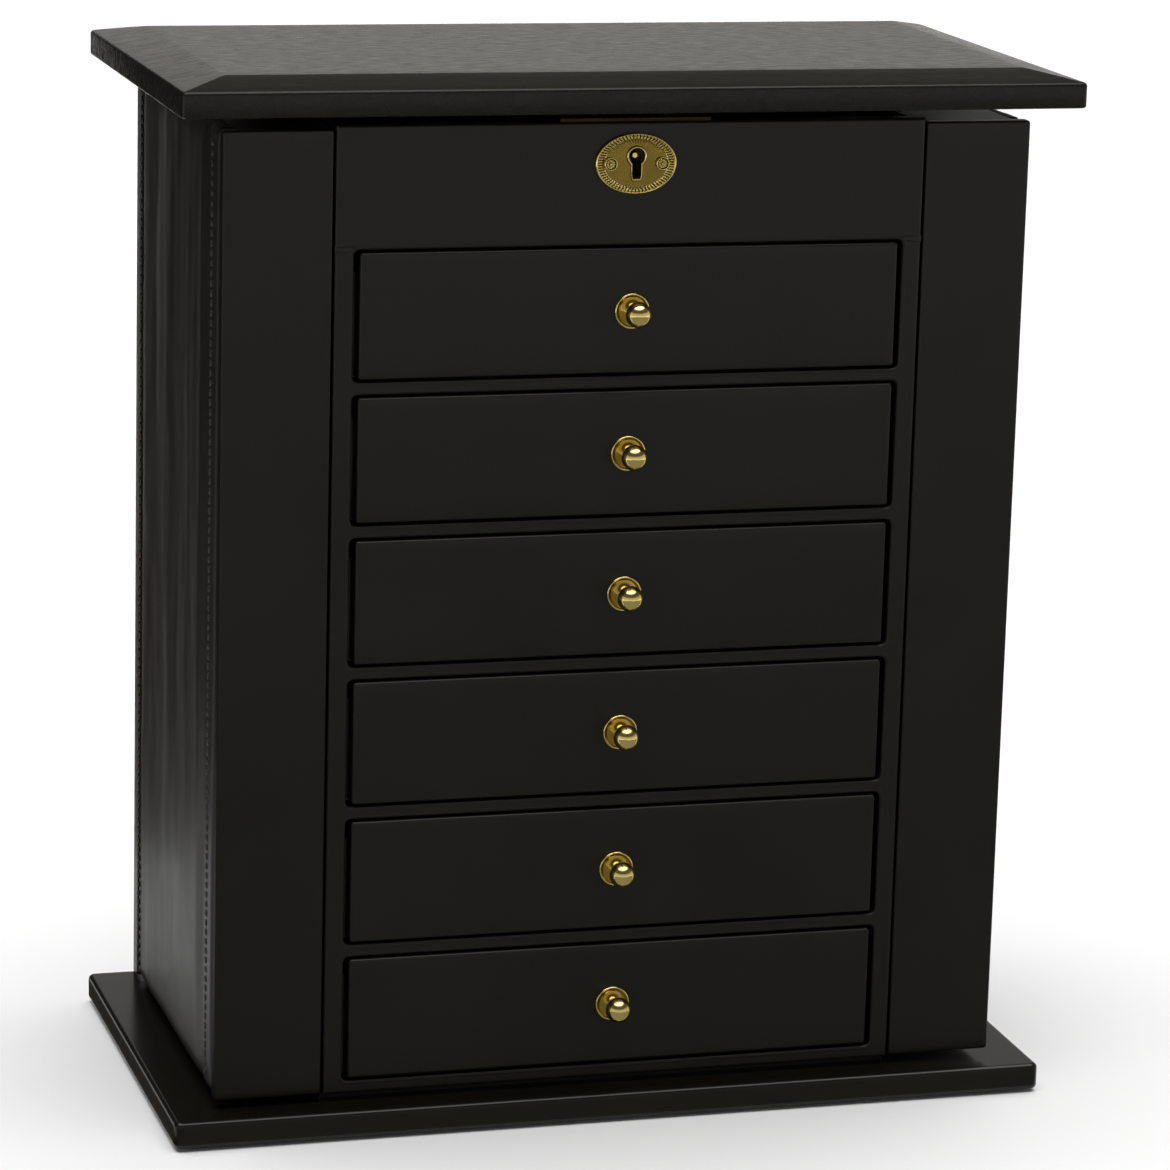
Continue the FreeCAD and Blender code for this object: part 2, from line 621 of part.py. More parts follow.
def drawer_front(number):
    x = X_OPENING - FRONT_GAP_X
    z = opening_z(number) + FRONT_GAP_Z
    y = knob_y()
    front = wrapped_board(-x, x, y, y + DRAWER_FRONT_T, z, z + DRAWER_FRONT_H, DRAWER_FRONT_R)
    start = Vector(0, y - 1, z + DRAWER_FRONT_H / 2)
    return front.cut(rod(STUD_R + STUD_CLEAR, start, Vector(0, 1, 0), DRAWER_FRONT_T + 2))


def drawer_box(number):
    x = X_OPENING - BOX_SIDE_CLEAR
    z = opening_z(number) + BOX_FLOAT
    y0 = knob_y() + DRAWER_FRONT_T
    y1 = Y_BACK_IN - BOX_BACK_CLEAR
    w = BOX_WALL
    tray = box(-x, x, y0, y1, z, z + BOX_H)
    return tray.cut(box(-x + w, x - w, y0 + w, y1 - w, z + BOX_FLOOR, z + BOX_H + 1))


def drawer_knob(number):
    """A turned knob: flared rose, hollow-sided neck, ball, and a stud through the drawer front."""
    y = knob_y()
    rim = KNOB_RIM_T
    rose = KNOB_ROSE_R
    neck = KNOB_NECK_R
    outline = [
        Part.LineSegment(Vector(0, 0, 0), Vector(rose, 0, 0)),
        Part.LineSegment(Vector(rose, 0, 0), Vector(rose, -rim, 0)),
        Part.Arc(Vector(rose, -rim, 0), flare_middle(rose, neck, rim), Vector(neck, -KNOB_NECK_L, 0)),
        Part.Arc(Vector(neck, -KNOB_NECK_L, 0), Vector(KNOB_BALL_R, -KNOB_BALL_OUT, 0),
                 Vector(0, -KNOB_BALL_OUT - KNOB_BALL_R, 0)),
        Part.LineSegment(Vector(0, -KNOB_BALL_OUT - KNOB_BALL_R, 0), Vector(0, 0, 0)),
    ]
    wire = Part.Wire([piece.toShape() for piece in outline])
    knob = Part.Face(wire).revolve(Vector(0, 0, 0), Vector(0, 1, 0), 360)
    stud = rod(STUD_R, Vector(0, 0, 0), Vector(0, 1, 0), DRAWER_FRONT_T - 1.0)
    knob = knob.fuse(stud).removeSplitter()
    knob.translate(Vector(0, y, opening_z(number) + OPENING_H / 2))
    return knob


def flare_middle(rose, neck, rim):
    """The middle of the hollow flare: the chord's middle moved toward the knob's axis."""
    dx = neck - rose
    dy = rim - KNOB_NECK_L
    return Vector((rose + neck) / 2 + FLARE_SAG * dy, -(rim + KNOB_NECK_L) / 2 - FLARE_SAG * dx, 0)


NODES = {
    "base_board": base_board,
    "foot_pads": foot_pads,
    "back_panel": back_panel,
    "floor_panel": floor_panel,
    "drawer_shelves": drawer_shelves,
    "tray_deck": tray_deck,
    "face_frame": face_frame,
    "lock_panel": lock_panel,
    "escutcheon": escutcheon,
    "escutcheon_pins": escutcheon_pins,
    "lock_case": lock_case,
    "lock_plate": lock_plate,
    "lock_bolt": lock_bolt,
    "strike_plate": strike_plate,
    "lid_board": lid_board,
    "lid_lining": lid_lining,
    "mirror_glass": mirror_glass,
    "lid_bumpers": lid_bumpers,
    "tray_lining": tray_lining,
    "tray_divider": tray_divider,
    "ring_rolls": ring_rolls,
}

SIDED = {
    "inner_wall": inner_wall_left,
    "lid_hinge_base": lid_hinge_base_left,
    "lid_hinge_leaf": lid_hinge_leaf_left,
    "door_front": door_front_left,
    "door_side": door_side_left,
    "door_frame": door_frame_left,
    "door_hooks": door_hooks_left,
    "door_pocket": door_pocket_left,
    "door_pivot_top": door_pivot_top_left,
    "door_pivot_bottom": door_pivot_bottom_left,
}

DRAWER = {
    "drawer_front": drawer_front,
    "drawer_box": drawer_box,
    "drawer_knob": drawer_knob,
}


def write(name, shape):
    """Check a piece and write its STEP file."""
    if not shape.isValid() or shape.Volume <= 0:
        raise ValueError(name + " is not a sound solid")
    shape.exportStep(os.path.join("parts", name + ".step"))


os.makedirs("parts", exist_ok=True)
for node, make in NODES.items():
    write(node, make())
for node, make in SIDED.items():
    left = make()
    write(node + "_left", left)
    write(node + "_right", mirrored(left))
for node, make in DRAWER.items():
    for place in range(1, DRAWER_COUNT + 1):
        write(node + "_" + str(place), make(place))
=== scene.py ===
"""A tabletop jewelry armoire: black leather-wrapped boards, padded side doors, polished brass fittings."""
import logging
import math
from dataclasses import dataclass, field
from enum import Enum
from typing import Callable, Iterable, Sequence

import bmesh
import bpy
from mathutils import Matrix, Vector, noise


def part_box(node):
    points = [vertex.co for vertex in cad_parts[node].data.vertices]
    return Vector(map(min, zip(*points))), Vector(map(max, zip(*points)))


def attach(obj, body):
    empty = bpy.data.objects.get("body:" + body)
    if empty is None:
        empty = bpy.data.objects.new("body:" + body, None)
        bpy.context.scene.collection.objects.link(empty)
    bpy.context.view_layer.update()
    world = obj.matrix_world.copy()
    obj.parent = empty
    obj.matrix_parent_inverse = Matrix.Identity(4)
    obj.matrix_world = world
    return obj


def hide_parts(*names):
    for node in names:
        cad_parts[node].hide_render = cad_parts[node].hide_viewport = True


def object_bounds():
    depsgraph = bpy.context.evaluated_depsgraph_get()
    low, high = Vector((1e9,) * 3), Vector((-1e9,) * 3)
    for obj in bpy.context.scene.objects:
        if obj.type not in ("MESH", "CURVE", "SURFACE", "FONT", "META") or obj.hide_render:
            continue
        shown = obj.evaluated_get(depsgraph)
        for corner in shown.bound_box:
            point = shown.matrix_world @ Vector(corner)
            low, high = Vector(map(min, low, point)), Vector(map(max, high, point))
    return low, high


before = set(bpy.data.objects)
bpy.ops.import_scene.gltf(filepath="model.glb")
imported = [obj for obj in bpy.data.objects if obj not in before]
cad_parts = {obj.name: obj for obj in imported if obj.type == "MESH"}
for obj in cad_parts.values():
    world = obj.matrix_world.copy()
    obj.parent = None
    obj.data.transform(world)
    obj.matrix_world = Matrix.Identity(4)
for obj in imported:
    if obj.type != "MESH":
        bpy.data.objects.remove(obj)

CAD_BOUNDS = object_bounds()
BOXES: dict[str, tuple[Vector, Vector]] = {}
MM = 0.001
log = logging.getLogger("armoire")


# ---- small tools -----------------------------------------------------------------------------

def linear(hex_colour: str, alpha: float = 1.0) -> tuple[float, float, float, float]:
    """Turns an sRGB hex colour to linear light.

    Args:
        hex_colour: six hex digits, such as "1e1c1a".
        alpha: the fourth value.

    Returns:
        Linear red, green, blue and alpha.
    """
    channels = [int(hex_colour[i:i + 2], 16) / 255 for i in (0, 2, 4)]
    light = [c / 12.92 if c <= 0.04045 else ((c + 0.055) / 1.055) ** 2.4 for c in channels]
    return (light[0], light[1], light[2], alpha)


def add_node(tree: bpy.types.NodeTree, kind: str, inputs: dict | None = None,
             **settings) -> bpy.types.Node:
    """Adds one node, with its settings and its inputs' values or links.

    Args:
        tree: the node tree it goes in.
        kind: the node's type name.
        inputs: socket name or number to a value, or to the output socket that feeds it.
        settings: the node's own attributes.

    Returns:
        The new node.
    """
    node = tree.nodes.new(kind)
    for name, value in settings.items():
        setattr(node, name, value)
    for socket, value in (inputs or {}).items():
        if isinstance(value, bpy.types.NodeSocket):
            tree.links.new(value, node.inputs[socket])
        else:
            node.inputs[socket].default_value = value
    return node


def millimetre_space(tree: bpy.types.NodeTree, scale: Sequence[float]) -> bpy.types.NodeSocket:
    """Object coordinates in millimetres, divided by a pattern's real size.

    Args:
        tree: the material's node tree.
        scale: the pattern's size along X, Y and Z, in millimetres.

    Returns:
        The vector socket for a texture whose own scale is 1.
    """
    place = add_node(tree, "ShaderNodeTexCoord")
    per_metre = [1.0 / (size * MM) for size in scale]
    mapping = add_node(tree, "ShaderNodeMapping", {"Vector": place.outputs["Object"], "Scale": per_metre})
    return mapping.outputs[0]


def node_box(node: str) -> tuple[Vector, Vector]:
    """A node's lowest and highest corners, measured once and kept.

    Args:
        node: the name of a node of the frame.

    Returns:
        The box's lowest and highest corners, in metres.
    """
    if node not in BOXES:
        low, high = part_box(node)
        BOXES[node] = (Vector(low), Vector(high))
    return BOXES[node]


def shown(name: str, work: bmesh.types.BMesh, smooth: bool = True) -> bpy.types.Object:
    """Turns a finished working mesh into an object in the scene.

    Args:
        name: the piece's name.
        work: the working mesh, which is used up.
        smooth: whether its faces shade smoothly.

    Returns:
        The new object.
    """
    mesh = bpy.data.meshes.new(name)
    work.to_mesh(mesh)
    work.free()
    for polygon in mesh.polygons:
        polygon.use_smooth = smooth
    piece = bpy.data.objects.new(name, mesh)
    bpy.context.scene.collection.objects.link(piece)
    return piece


def mesh_piece(name: str, verts: Sequence[Sequence[float]], faces: Sequence[Sequence[int]],
               smooth: bool = True) -> bpy.types.Object:
    """Makes a mesh object from points and faces, with its normals turned outward.

    Args:
        name: the piece's name.
        verts: its points, in metres.
        faces: its faces, as point numbers.
        smooth: whether its faces shade smoothly.

    Returns:
        The new object, linked to the scene.
    """
    draft = bpy.data.meshes.new(name)
    draft.from_pydata([tuple(v) for v in verts], [], [tuple(f) for f in faces])
    draft.validate()
    work = bmesh.new()
    work.from_mesh(draft)
    bpy.data.meshes.remove(draft)
    bmesh.ops.recalc_face_normals(work, faces=work.faces)
    return shown(name, work, smooth)


def grid_faces(rows: int, columns: int, start: int = 0,
               wrap: bool = False) -> list[tuple[int, ...]]:
    """The quads between rows of points.

    Args:
        rows: how many rows.
        columns: how many points in each.
        start: the first point's number.
        wrap: whether the last column joins the first.

    Returns:
        Four point numbers per quad.
    """
    faces = []
    for r in range(rows - 1):
        for c in range(columns if wrap else columns - 1):
            d = (c + 1) % columns
            a = start + r * columns
            faces.append((a + c, a + d, a + columns + d, a + columns + c))
    return faces


def loft(name: str, rings: Sequence[Sequence[Vector]]) -> bpy.types.Object:
    """A closed skin through rings of equal length, with both ends filled.

    Args:
        name: the piece's name.
        rings: the rings of points, each in order.

    Returns:
        The new object.
    """
    count = len(rings[0])
    verts = [p for ring in rings for p in ring]
    faces = grid_faces(len(rings), count, wrap=True)
    last = (len(rings) - 1) * count
    faces += [tuple(range(count)), tuple(range(last, last + count))]
    return mesh_piece(name, verts, faces)


def ring_band(name: str, rings: Sequence[Sequence[Vector]]) -> bpy.types.Object:
    """A closed band through rings of equal length, with the last ring joined to the first.

    Args:
        name: the piece's name.
        rings: the rings of points, in order round the band's section.

    Returns:
        The new object.
    """
    count = len(rings[0])
    verts = [p for ring in rings for p in ring]
    faces = grid_faces(len(rings), count, wrap=True)
    last = (len(rings) - 1) * count
    faces += [(k, (k + 1) % count, last + (k + 1) % count, last + k) for k in range(count)]
    return mesh_piece(name, verts, faces)


def smoothstep(low: float, high: float, value: float) -> float:
    """An eased step from 0 at low to 1 at high."""
    t = min(max((value - low) / (high - low), 0.0), 1.0)
    return t * t * (3 - 2 * t)


def rounded_outline(width: float, height: float, radius: float,
                    corner_points: int = 6) -> list[tuple[float, float]]:
    """A rectangle with round corners, about its middle.

    Args:
        width: its size across.
        height: its size up.
        radius: the corner radius.
        corner_points: points in each corner.

    Returns:
        Its points, in order.
    """
    points = []
    for corner, (sx, sy) in enumerate(((1, 1), (-1, 1), (-1, -1), (1, -1))):
        for k in range(corner_points):
            turn = math.pi / 2 * (corner + k / (corner_points - 1))
            points.append((sx * (width / 2 - radius) + radius * math.cos(turn),
                           sy * (height / 2 - radius) + radius * math.sin(turn)))
    return points


def circle(centre: Vector, across: Vector, up: Vector, count: int) -> list[Vector]:
    """Evenly spaced points round a circle.

    Args:
        centre: its middle.
        across: its radius in the direction of the first point.
        up: its radius a quarter turn on.
        count: how many points.

    Returns:
        The points, in order.
    """
    turns = [2 * math.pi * k / count for k in range(count)]
    return [centre + across * math.cos(t) + up * math.sin(t) for t in turns]


def pillow_pad(name: str, low: Vector, high: Vector, corner: float, edge: float, crown: float,
               steps: int = 5) -> bpy.types.Object:
    """A thin upholstered pad lying flat: rounded plan, rolled edge and a slightly crowned top.

    Args:
        name: the piece's name.
        low: its lowest corner.
        high: its highest corner.
        corner: its plan's corner radius.
        edge: how far the rolled edge reaches in.
        crown: how far the middle stands above the rolled edge.
        steps: rings in the rolled edge.

    Returns:
        The new object.
    """
    centre = (low + high) / 2
    width, depth, thick = high.x - low.x, high.y - low.y, high.z - low.z
    rings = []
    levels = [(0.0, low.z)]
    for k in range(1, steps + 1):
        turn = math.pi / 2 * k / steps
        levels.append((edge * (1 - math.cos(turn)), low.z + (thick - crown) * math.sin(turn)))
    inner_rings, ring_step = 3, 0.3     # on the crowned top; the step is a share of half the width
    for k in range(1, inner_rings + 1):
        levels.append((edge + (min(width, depth) / 2 - edge) * ring_step * k,
                       high.z - crown * (1 - k / inner_rings) ** 2))
    for inset, z in levels:
        round_off = max(corner - inset * 0.5, 0.2 * corner)
        outline = rounded_outline(width - 2 * inset, depth - 2 * inset, round_off)
        rings.append([Vector((centre.x + x, centre.y + y, z)) for x, y in outline])
    return loft(name, rings)


def wrapped_board(name: str, low: Vector, high: Vector, radius: float, crown: float,
                  corner: float) -> bpy.types.Object:
    """An upright board wrapped in leather: rolled front edge, small corners and a slightly crowned face.

    Args:
        name: the piece's name.
        low: its lowest corner; the face looks towards -Y.
        high: its highest corner.
        radius: the rolled edge's radius.
        crown: how far the middle of the face stands out.
        corner: the outline's corner radius.

    Returns:
        The new object.
    """
    face = low.y + crown
    back_edge, edge_steps, least_corner = 0.5 * MM, 6, 0.4 * MM
    crowning = ((1.5 * MM, 0.35), (4 * MM, 0.8), (8 * MM, 1.0), (9 * MM, 1.0))   # inset, share of the crown
    section = [(back_edge, high.y), (0.0, high.y - back_edge)]
    for k in range(edge_steps + 1):
        turn = math.pi / 2 * k / edge_steps
        section.append((radius * (1 - math.cos(turn)), face + radius * (1 - math.sin(turn))))
    section += [(radius + inset, face - crown * share) for inset, share in crowning]
    x, z = (low.x + high.x) / 2, (low.z + high.z) / 2
    rings = []
    for inset, y in section:
        outline = rounded_outline(high.x - low.x - 2 * inset, high.z - low.z - 2 * inset,
                                  max(corner - inset * 0.3, least_corner))
        rings.append([Vector((x + across, y, z + up)) for across, up in outline])
    return loft(name, rings)


def joined(name: str, pieces: Sequence[bpy.types.Object]) -> bpy.types.Object:
    """Joins several mesh objects to one.

    Args:
        name: the joined piece's name.
        pieces: the objects, which are used up.

    Returns:
        The joined object.
    """
    work = bmesh.new()
    for piece in pieces:
        work.from_mesh(piece.data)
        bpy.data.objects.remove(piece)
    return shown(name, work)


def dress(piece: bpy.types.Object, material: bpy.types.Material) -> None:
    """Gives every face of a piece one material."""
    piece.data.materials.clear()
    piece.data.materials.append(material)


def seat(piece: bpy.types.Object, body: str, material: bpy.types.Material,
         stands_for: str = "") -> bpy.types.Object:
    """Dresses a new piece, hides the node of the frame that it replaces and sets it on its body.

    Args:
        piece: the new piece.
        body: the body it moves with.
        material: its material.
        stands_for: the node of the frame that it replaces, if any.

    Returns:
        The same piece.
    """
    if stands_for:
        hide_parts(stands_for)
    dress(piece, material)
    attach(piece, body)
    log.info("%s on %s, %s", piece.name, body, material.name)
    return piece


def second_finish(piece: bpy.types.Object, material: bpy.types.Material,
                  belongs: Callable[[bpy.types.MeshPolygon], bool]) -> None:
    """Gives some of a piece's faces another material.

    Args:
        piece: the piece.
        material: the other material.
        belongs: tells whether a face gets it.
    """
    piece.data.materials.append(material)
    number = len(piece.data.materials) - 1
    for polygon in piece.data.polygons:
        if belongs(polygon):
            polygon.material_index = number


def dress_nodes(names: Iterable[str], material: bpy.types.Material) -> None:
    """Dresses nodes of the frame that keep their own shape.

    Args:
        names: the nodes to dress as they are.
        material: the finish they get.
    """
    for name in names:
        dress(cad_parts[name], material)
        log.info("%s dressed in %s", name, material.name)


# ---- finishes --------------------------------------------------------------------------------

class Grain(Enum):
    """How the leather's surface runs."""

    PLAIN = "plain"
    STREAKED = "streaked"


@dataclass(frozen=True)
class Finish:
    """A finish made of shader nodes; each kind of finish gives its own surface."""

    name: str

    def build(self) -> bpy.types.Material:
        """Makes the material.

        Returns:
            The finished material.
        """
        material = bpy.data.materials.new(self.name)
        material.use_nodes = True
        tree = material.node_tree
        tree.nodes.clear()
        add_node(tree, "ShaderNodeOutputMaterial", {"Surface": self.surface(tree).outputs[0]})
        return material

    def surface(self, tree: bpy.types.NodeTree) -> bpy.types.Node:
        """Adds the finish's own nodes.

        Args:
            tree: the material's node tree.

        Returns:
            The shader that the surface shows.
        """
        raise NotImplementedError


@dataclass(frozen=True)
class CoatedLeather(Finish):
    """Split leather with a calendered polyurethane coat, wrapped over board or foam.

    The coat is almost black and closed, so the eye gets little colour and a broad soft sheen,
    strong only where the surface is seen at a low angle.
    """

    deep: str = "0d0c09"
    worn: str = "15140f"
    roughness: float = 0.36
    roughness_spread: float = 0.08
    specular: float = 0.28
    grain: Grain = Grain.PLAIN
    streak_spread: float = 0.06
    streak_depth_mm: float = 0.085
    streak_mm: tuple[float, float, float] = (6.5, 1.7, 4.0)
    pebble_mm: float = 1.1          # embossed pebble, one cell
    pebble_depth_mm: float = 0.035
    cloud_mm: float = 45.0          # slow change of colour and sheen
    cloud_squeeze: float = 0.6      # how much shorter the clouds are across the streaks

    def surface(self, tree: bpy.types.NodeTree) -> bpy.types.Node:
        """Adds the clouds, the embossed pebble and, on rolled leather, the streaks.

        Args:
            tree: the material's node tree.

        Returns:
            The leather's shader.
        """
        streaked = self.grain is Grain.STREAKED
        depth = self.cloud_mm * (self.cloud_squeeze if streaked else 1.0)
        cloud = add_node(tree, "ShaderNodeTexNoise", {
            "Vector": millimetre_space(tree, (self.cloud_mm, depth, self.cloud_mm)), "Scale": 1.0,
            "Detail": 4.0, "Roughness": 0.55})
        colour = add_node(tree, "ShaderNodeMix", {
            "Factor": cloud.outputs["Fac"], "A": linear(self.deep), "B": linear(self.worn)}, data_type="RGBA")
        pebble = add_node(tree, "ShaderNodeTexVoronoi", {
            "Vector": millimetre_space(tree, (self.pebble_mm,) * 3), "Scale": 1.0}, feature="SMOOTH_F1")
        bump = add_node(tree, "ShaderNodeBump", {
            "Height": pebble.outputs["Distance"], "Strength": 0.5, "Distance": self.pebble_depth_mm * MM})
        uneven, spread = cloud, self.roughness_spread / 2
        if streaked:
            uneven, spread = add_node(tree, "ShaderNodeTexNoise", {
                "Vector": millimetre_space(tree, self.streak_mm), "Scale": 1.0, "Detail": 3.0,
                "Roughness": 0.6}), self.streak_spread
            bump = add_node(tree, "ShaderNodeBump", {
                "Height": uneven.outputs["Fac"], "Strength": 0.7, "Distance": self.streak_depth_mm * MM,
                "Normal": bump.outputs[0]})
        rough = add_node(tree, "ShaderNodeMapRange", {
            "Value": uneven.outputs["Fac"], "From Min": 0.3, "From Max": 0.7,
            "To Min": self.roughness - spread, "To Max": self.roughness + spread})
        return add_node(tree, "ShaderNodeBsdfPrincipled", {
            "Base Color": colour.outputs["Result"], "Roughness": rough.outputs[0],
            "Normal": bump.outputs[0], "Specular IOR Level": self.specular})


@dataclass(frozen=True)
class PolishedBrass(Finish):
    """Cast and turned brass, polished and lacquered: warm, clear reflections, a little cloudy; its darker
    copies paint the shade in hollows.
    """

    bright: str = "f0e09c"
    aged: str = "d6bc64"
    roughness: float = 0.12
    spread: float = 0.06
    cloud_mm: float = 6.0
    scratch_mm: float = 0.5

    def surface(self, tree: bpy.types.NodeTree) -> bpy.types.Node:
        """Adds the clouds in the lacquer and the fine grit of the polish.

        Args:
            tree: the material's node tree.

        Returns:
            The brass's shader.
        """
        cloud = add_node(tree, "ShaderNodeTexNoise", {
            "Vector": millimetre_space(tree, (self.cloud_mm,) * 3), "Scale": 1.0, "Detail": 3.0})
        colour = add_node(tree, "ShaderNodeMix", {
            "Factor": cloud.outputs["Fac"], "A": linear(self.aged), "B": linear(self.bright)},
            data_type="RGBA")
        rough = add_node(tree, "ShaderNodeMapRange", {
            "Value": cloud.outputs["Fac"], "From Min": 0.3, "From Max": 0.7,
            "To Min": self.roughness + self.spread / 2, "To Max": self.roughness - self.spread / 2})
        grit = add_node(tree, "ShaderNodeTexNoise", {
            "Vector": millimetre_space(tree, (self.scratch_mm,) * 3), "Scale": 1.0, "Detail": 2.0})
        bump = add_node(tree, "ShaderNodeBump", {
            "Height": grit.outputs["Fac"], "Strength": 0.05, "Distance": 0.01 * MM})
        return add_node(tree, "ShaderNodeBsdfPrincipled", {
            "Base Color": colour.outputs["Result"], "Metallic": 1.0, "Roughness": rough.outputs[0],
            "Normal": bump.outputs[0]})


@dataclass(frozen=True)
class PileCloth(Finish):
    """Cut-pile or pressed cloth: no clear shine, a pale bloom at low angles and a soft mottle of the pile."""

    deep: str = "37312d"
    brushed: str = "5b534c"
    bloom: str = "8a807a"
    pile_mm: float = 0.8            # drawn coarser than the real 0.2 mm pile, so that it shows
    pile_depth_mm: float = 0.25
    lay_mm: float = 18.0            # patches where the pile leans one way
    sheen: float = 0.6

    def surface(self, tree: bpy.types.NodeTree) -> bpy.types.Node:
        """Adds the patches where the pile leans and the pile itself.

        Args:
            tree: the material's node tree.

        Returns:
            The cloth's shader.
        """
        lay = add_node(tree, "ShaderNodeTexNoise", {
            "Vector": millimetre_space(tree, (self.lay_mm,) * 3), "Scale": 1.0, "Detail": 3.0})
        colour = add_node(tree, "ShaderNodeMix", {
            "Factor": lay.outputs["Fac"], "A": linear(self.deep), "B": linear(self.brushed)},
            data_type="RGBA")
        pile = add_node(tree, "ShaderNodeTexNoise", {
            "Vector": millimetre_space(tree, (self.pile_mm,) * 3), "Scale": 1.0, "Detail": 2.0})
        bump = add_node(tree, "ShaderNodeBump", {
            "Height": pile.outputs["Fac"], "Strength": 0.6, "Distance": self.pile_depth_mm * MM})
        return add_node(tree, "ShaderNodeBsdfPrincipled", {
            "Base Color": colour.outputs["Result"], "Roughness": 0.95, "Normal": bump.outputs[0],
            "Specular IOR Level": 0.1, "Sheen Weight": self.sheen, "Sheen Roughness": 0.4,
            "Sheen Tint": linear(self.bloom)})


@dataclass(frozen=True)
class ZincSteel(Finish):
    """Stamped sheet steel with a thin zinc plating: cool grey, with a faint spangle."""

    pale: str = "b4b6b8"
    dull: str = "7e8184"
    spangle_mm: float = 3.0

    def surface(self, tree: bpy.types.NodeTree) -> bpy.types.Node:
        """Adds the spangle.

        Args:
            tree: the material's node tree.

        Returns:
            The steel's shader.
        """
        spangle = add_node(tree, "ShaderNodeTexVoronoi", {
            "Vector": millimetre_space(tree, (self.spangle_mm,) * 3), "Scale": 1.0})
        colour = add_node(tree, "ShaderNodeMix", {
            "Factor": spangle.outputs["Distance"], "A": linear(self.pale), "B": linear(self.dull)},
            data_type="RGBA")
        return add_node(tree, "ShaderNodeBsdfPrincipled", {
            "Base Color": colour.outputs["Result"], "Metallic": 1.0, "Roughness": 0.36})


@dataclass(frozen=True)
class SilveredGlass(Finish):
    """Float glass silvered on the back: a clear image, with a trace of unevenness in the coat."""

    silver: str = "e6e9ea"
    haze_mm: float = 60.0

    def surface(self, tree: bpy.types.NodeTree) -> bpy.types.Node:
        """Adds the faint haze in the coat.

        Args:
            tree: the material's node tree.

        Returns:
            The mirror's shader.
        """
        haze = add_node(tree, "ShaderNodeTexNoise", {
            "Vector": millimetre_space(tree, (self.haze_mm,) * 3), "Scale": 1.0, "Detail": 2.0})
        rough = add_node(tree, "ShaderNodeMapRange", {
            "Value": haze.outputs["Fac"], "To Min": 0.01, "To Max": 0.04})
        return add_node(tree, "ShaderNodeBsdfPrincipled", {
            "Base Color": linear(self.silver), "Metallic": 1.0, "Roughness": rough.outputs[0]})


@dataclass(frozen=True)
class WaxedThread(Finish):
    """Twisted polyester thread, waxed: matt, with its twist as a fine slanted rib."""

    dark: str = "11100d"
    light: str = "2b2822"
    twist_mm: float = 0.45
    twists_drawn: int = 6           # twists to one rib, since a single one is too fine to show

    def surface(self, tree: bpy.types.NodeTree) -> bpy.types.Node:
        """Adds the twist.

        Args:
            tree: the material's node tree.

        Returns:
            The thread's shader.
        """
        twist = add_node(tree, "ShaderNodeTexWave", {
            "Vector": millimetre_space(tree, (self.twist_mm * self.twists_drawn,) * 3), "Scale": 1.0,
            "Distortion": 0.4}, bands_direction="DIAGONAL")
        colour = add_node(tree, "ShaderNodeMix", {
            "Factor": twist.outputs["Fac"], "A": linear(self.dark), "B": linear(self.light)},
            data_type="RGBA")
        return add_node(tree, "ShaderNodeBsdfPrincipled", {
            "Base Color": colour.outputs["Result"], "Roughness": 0.6})


@dataclass(frozen=True)
class PaintedFloor(Finish):
    """A floor in matt water-based paint: white, with a slow, faint mottle of the roller."""

    cool: str = "eef1f7"
    pale: str = "f1f4fa"
    mottle_mm: float = 400.0

    def surface(self, tree: bpy.types.NodeTree) -> bpy.types.Node:
        """Adds the mottle.

        Args:
            tree: the material's node tree.

        Returns:
            The paint's shader.
        """
        mottle = add_node(tree, "ShaderNodeTexNoise", {
            "Vector": millimetre_space(tree, (self.mottle_mm,) * 3), "Scale": 1.0, "Detail": 2.0})
        colour = add_node(tree, "ShaderNodeMix", {
            "Factor": mottle.outputs["Fac"], "A": linear(self.cool), "B": linear(self.pale)},
            data_type="RGBA")
        return add_node(tree, "ShaderNodeBsdfPrincipled", {
            "Base Color": colour.outputs["Result"], "Roughness": 0.9, "Specular IOR Level": 0.1})


@dataclass(frozen=True)
class GreyCard(Finish):
    """A card with an even, dim glow of its own, so that a reflection in it is one plain tone."""

    tone: str = "fff4e6"
    glow: float = 0.04

    def surface(self, tree: bpy.types.NodeTree) -> bpy.types.Node:
        """Adds the glow."""
        return add_node(tree, "ShaderNodeEmission", {"Color": linear(self.tone), "Strength": self.glow})


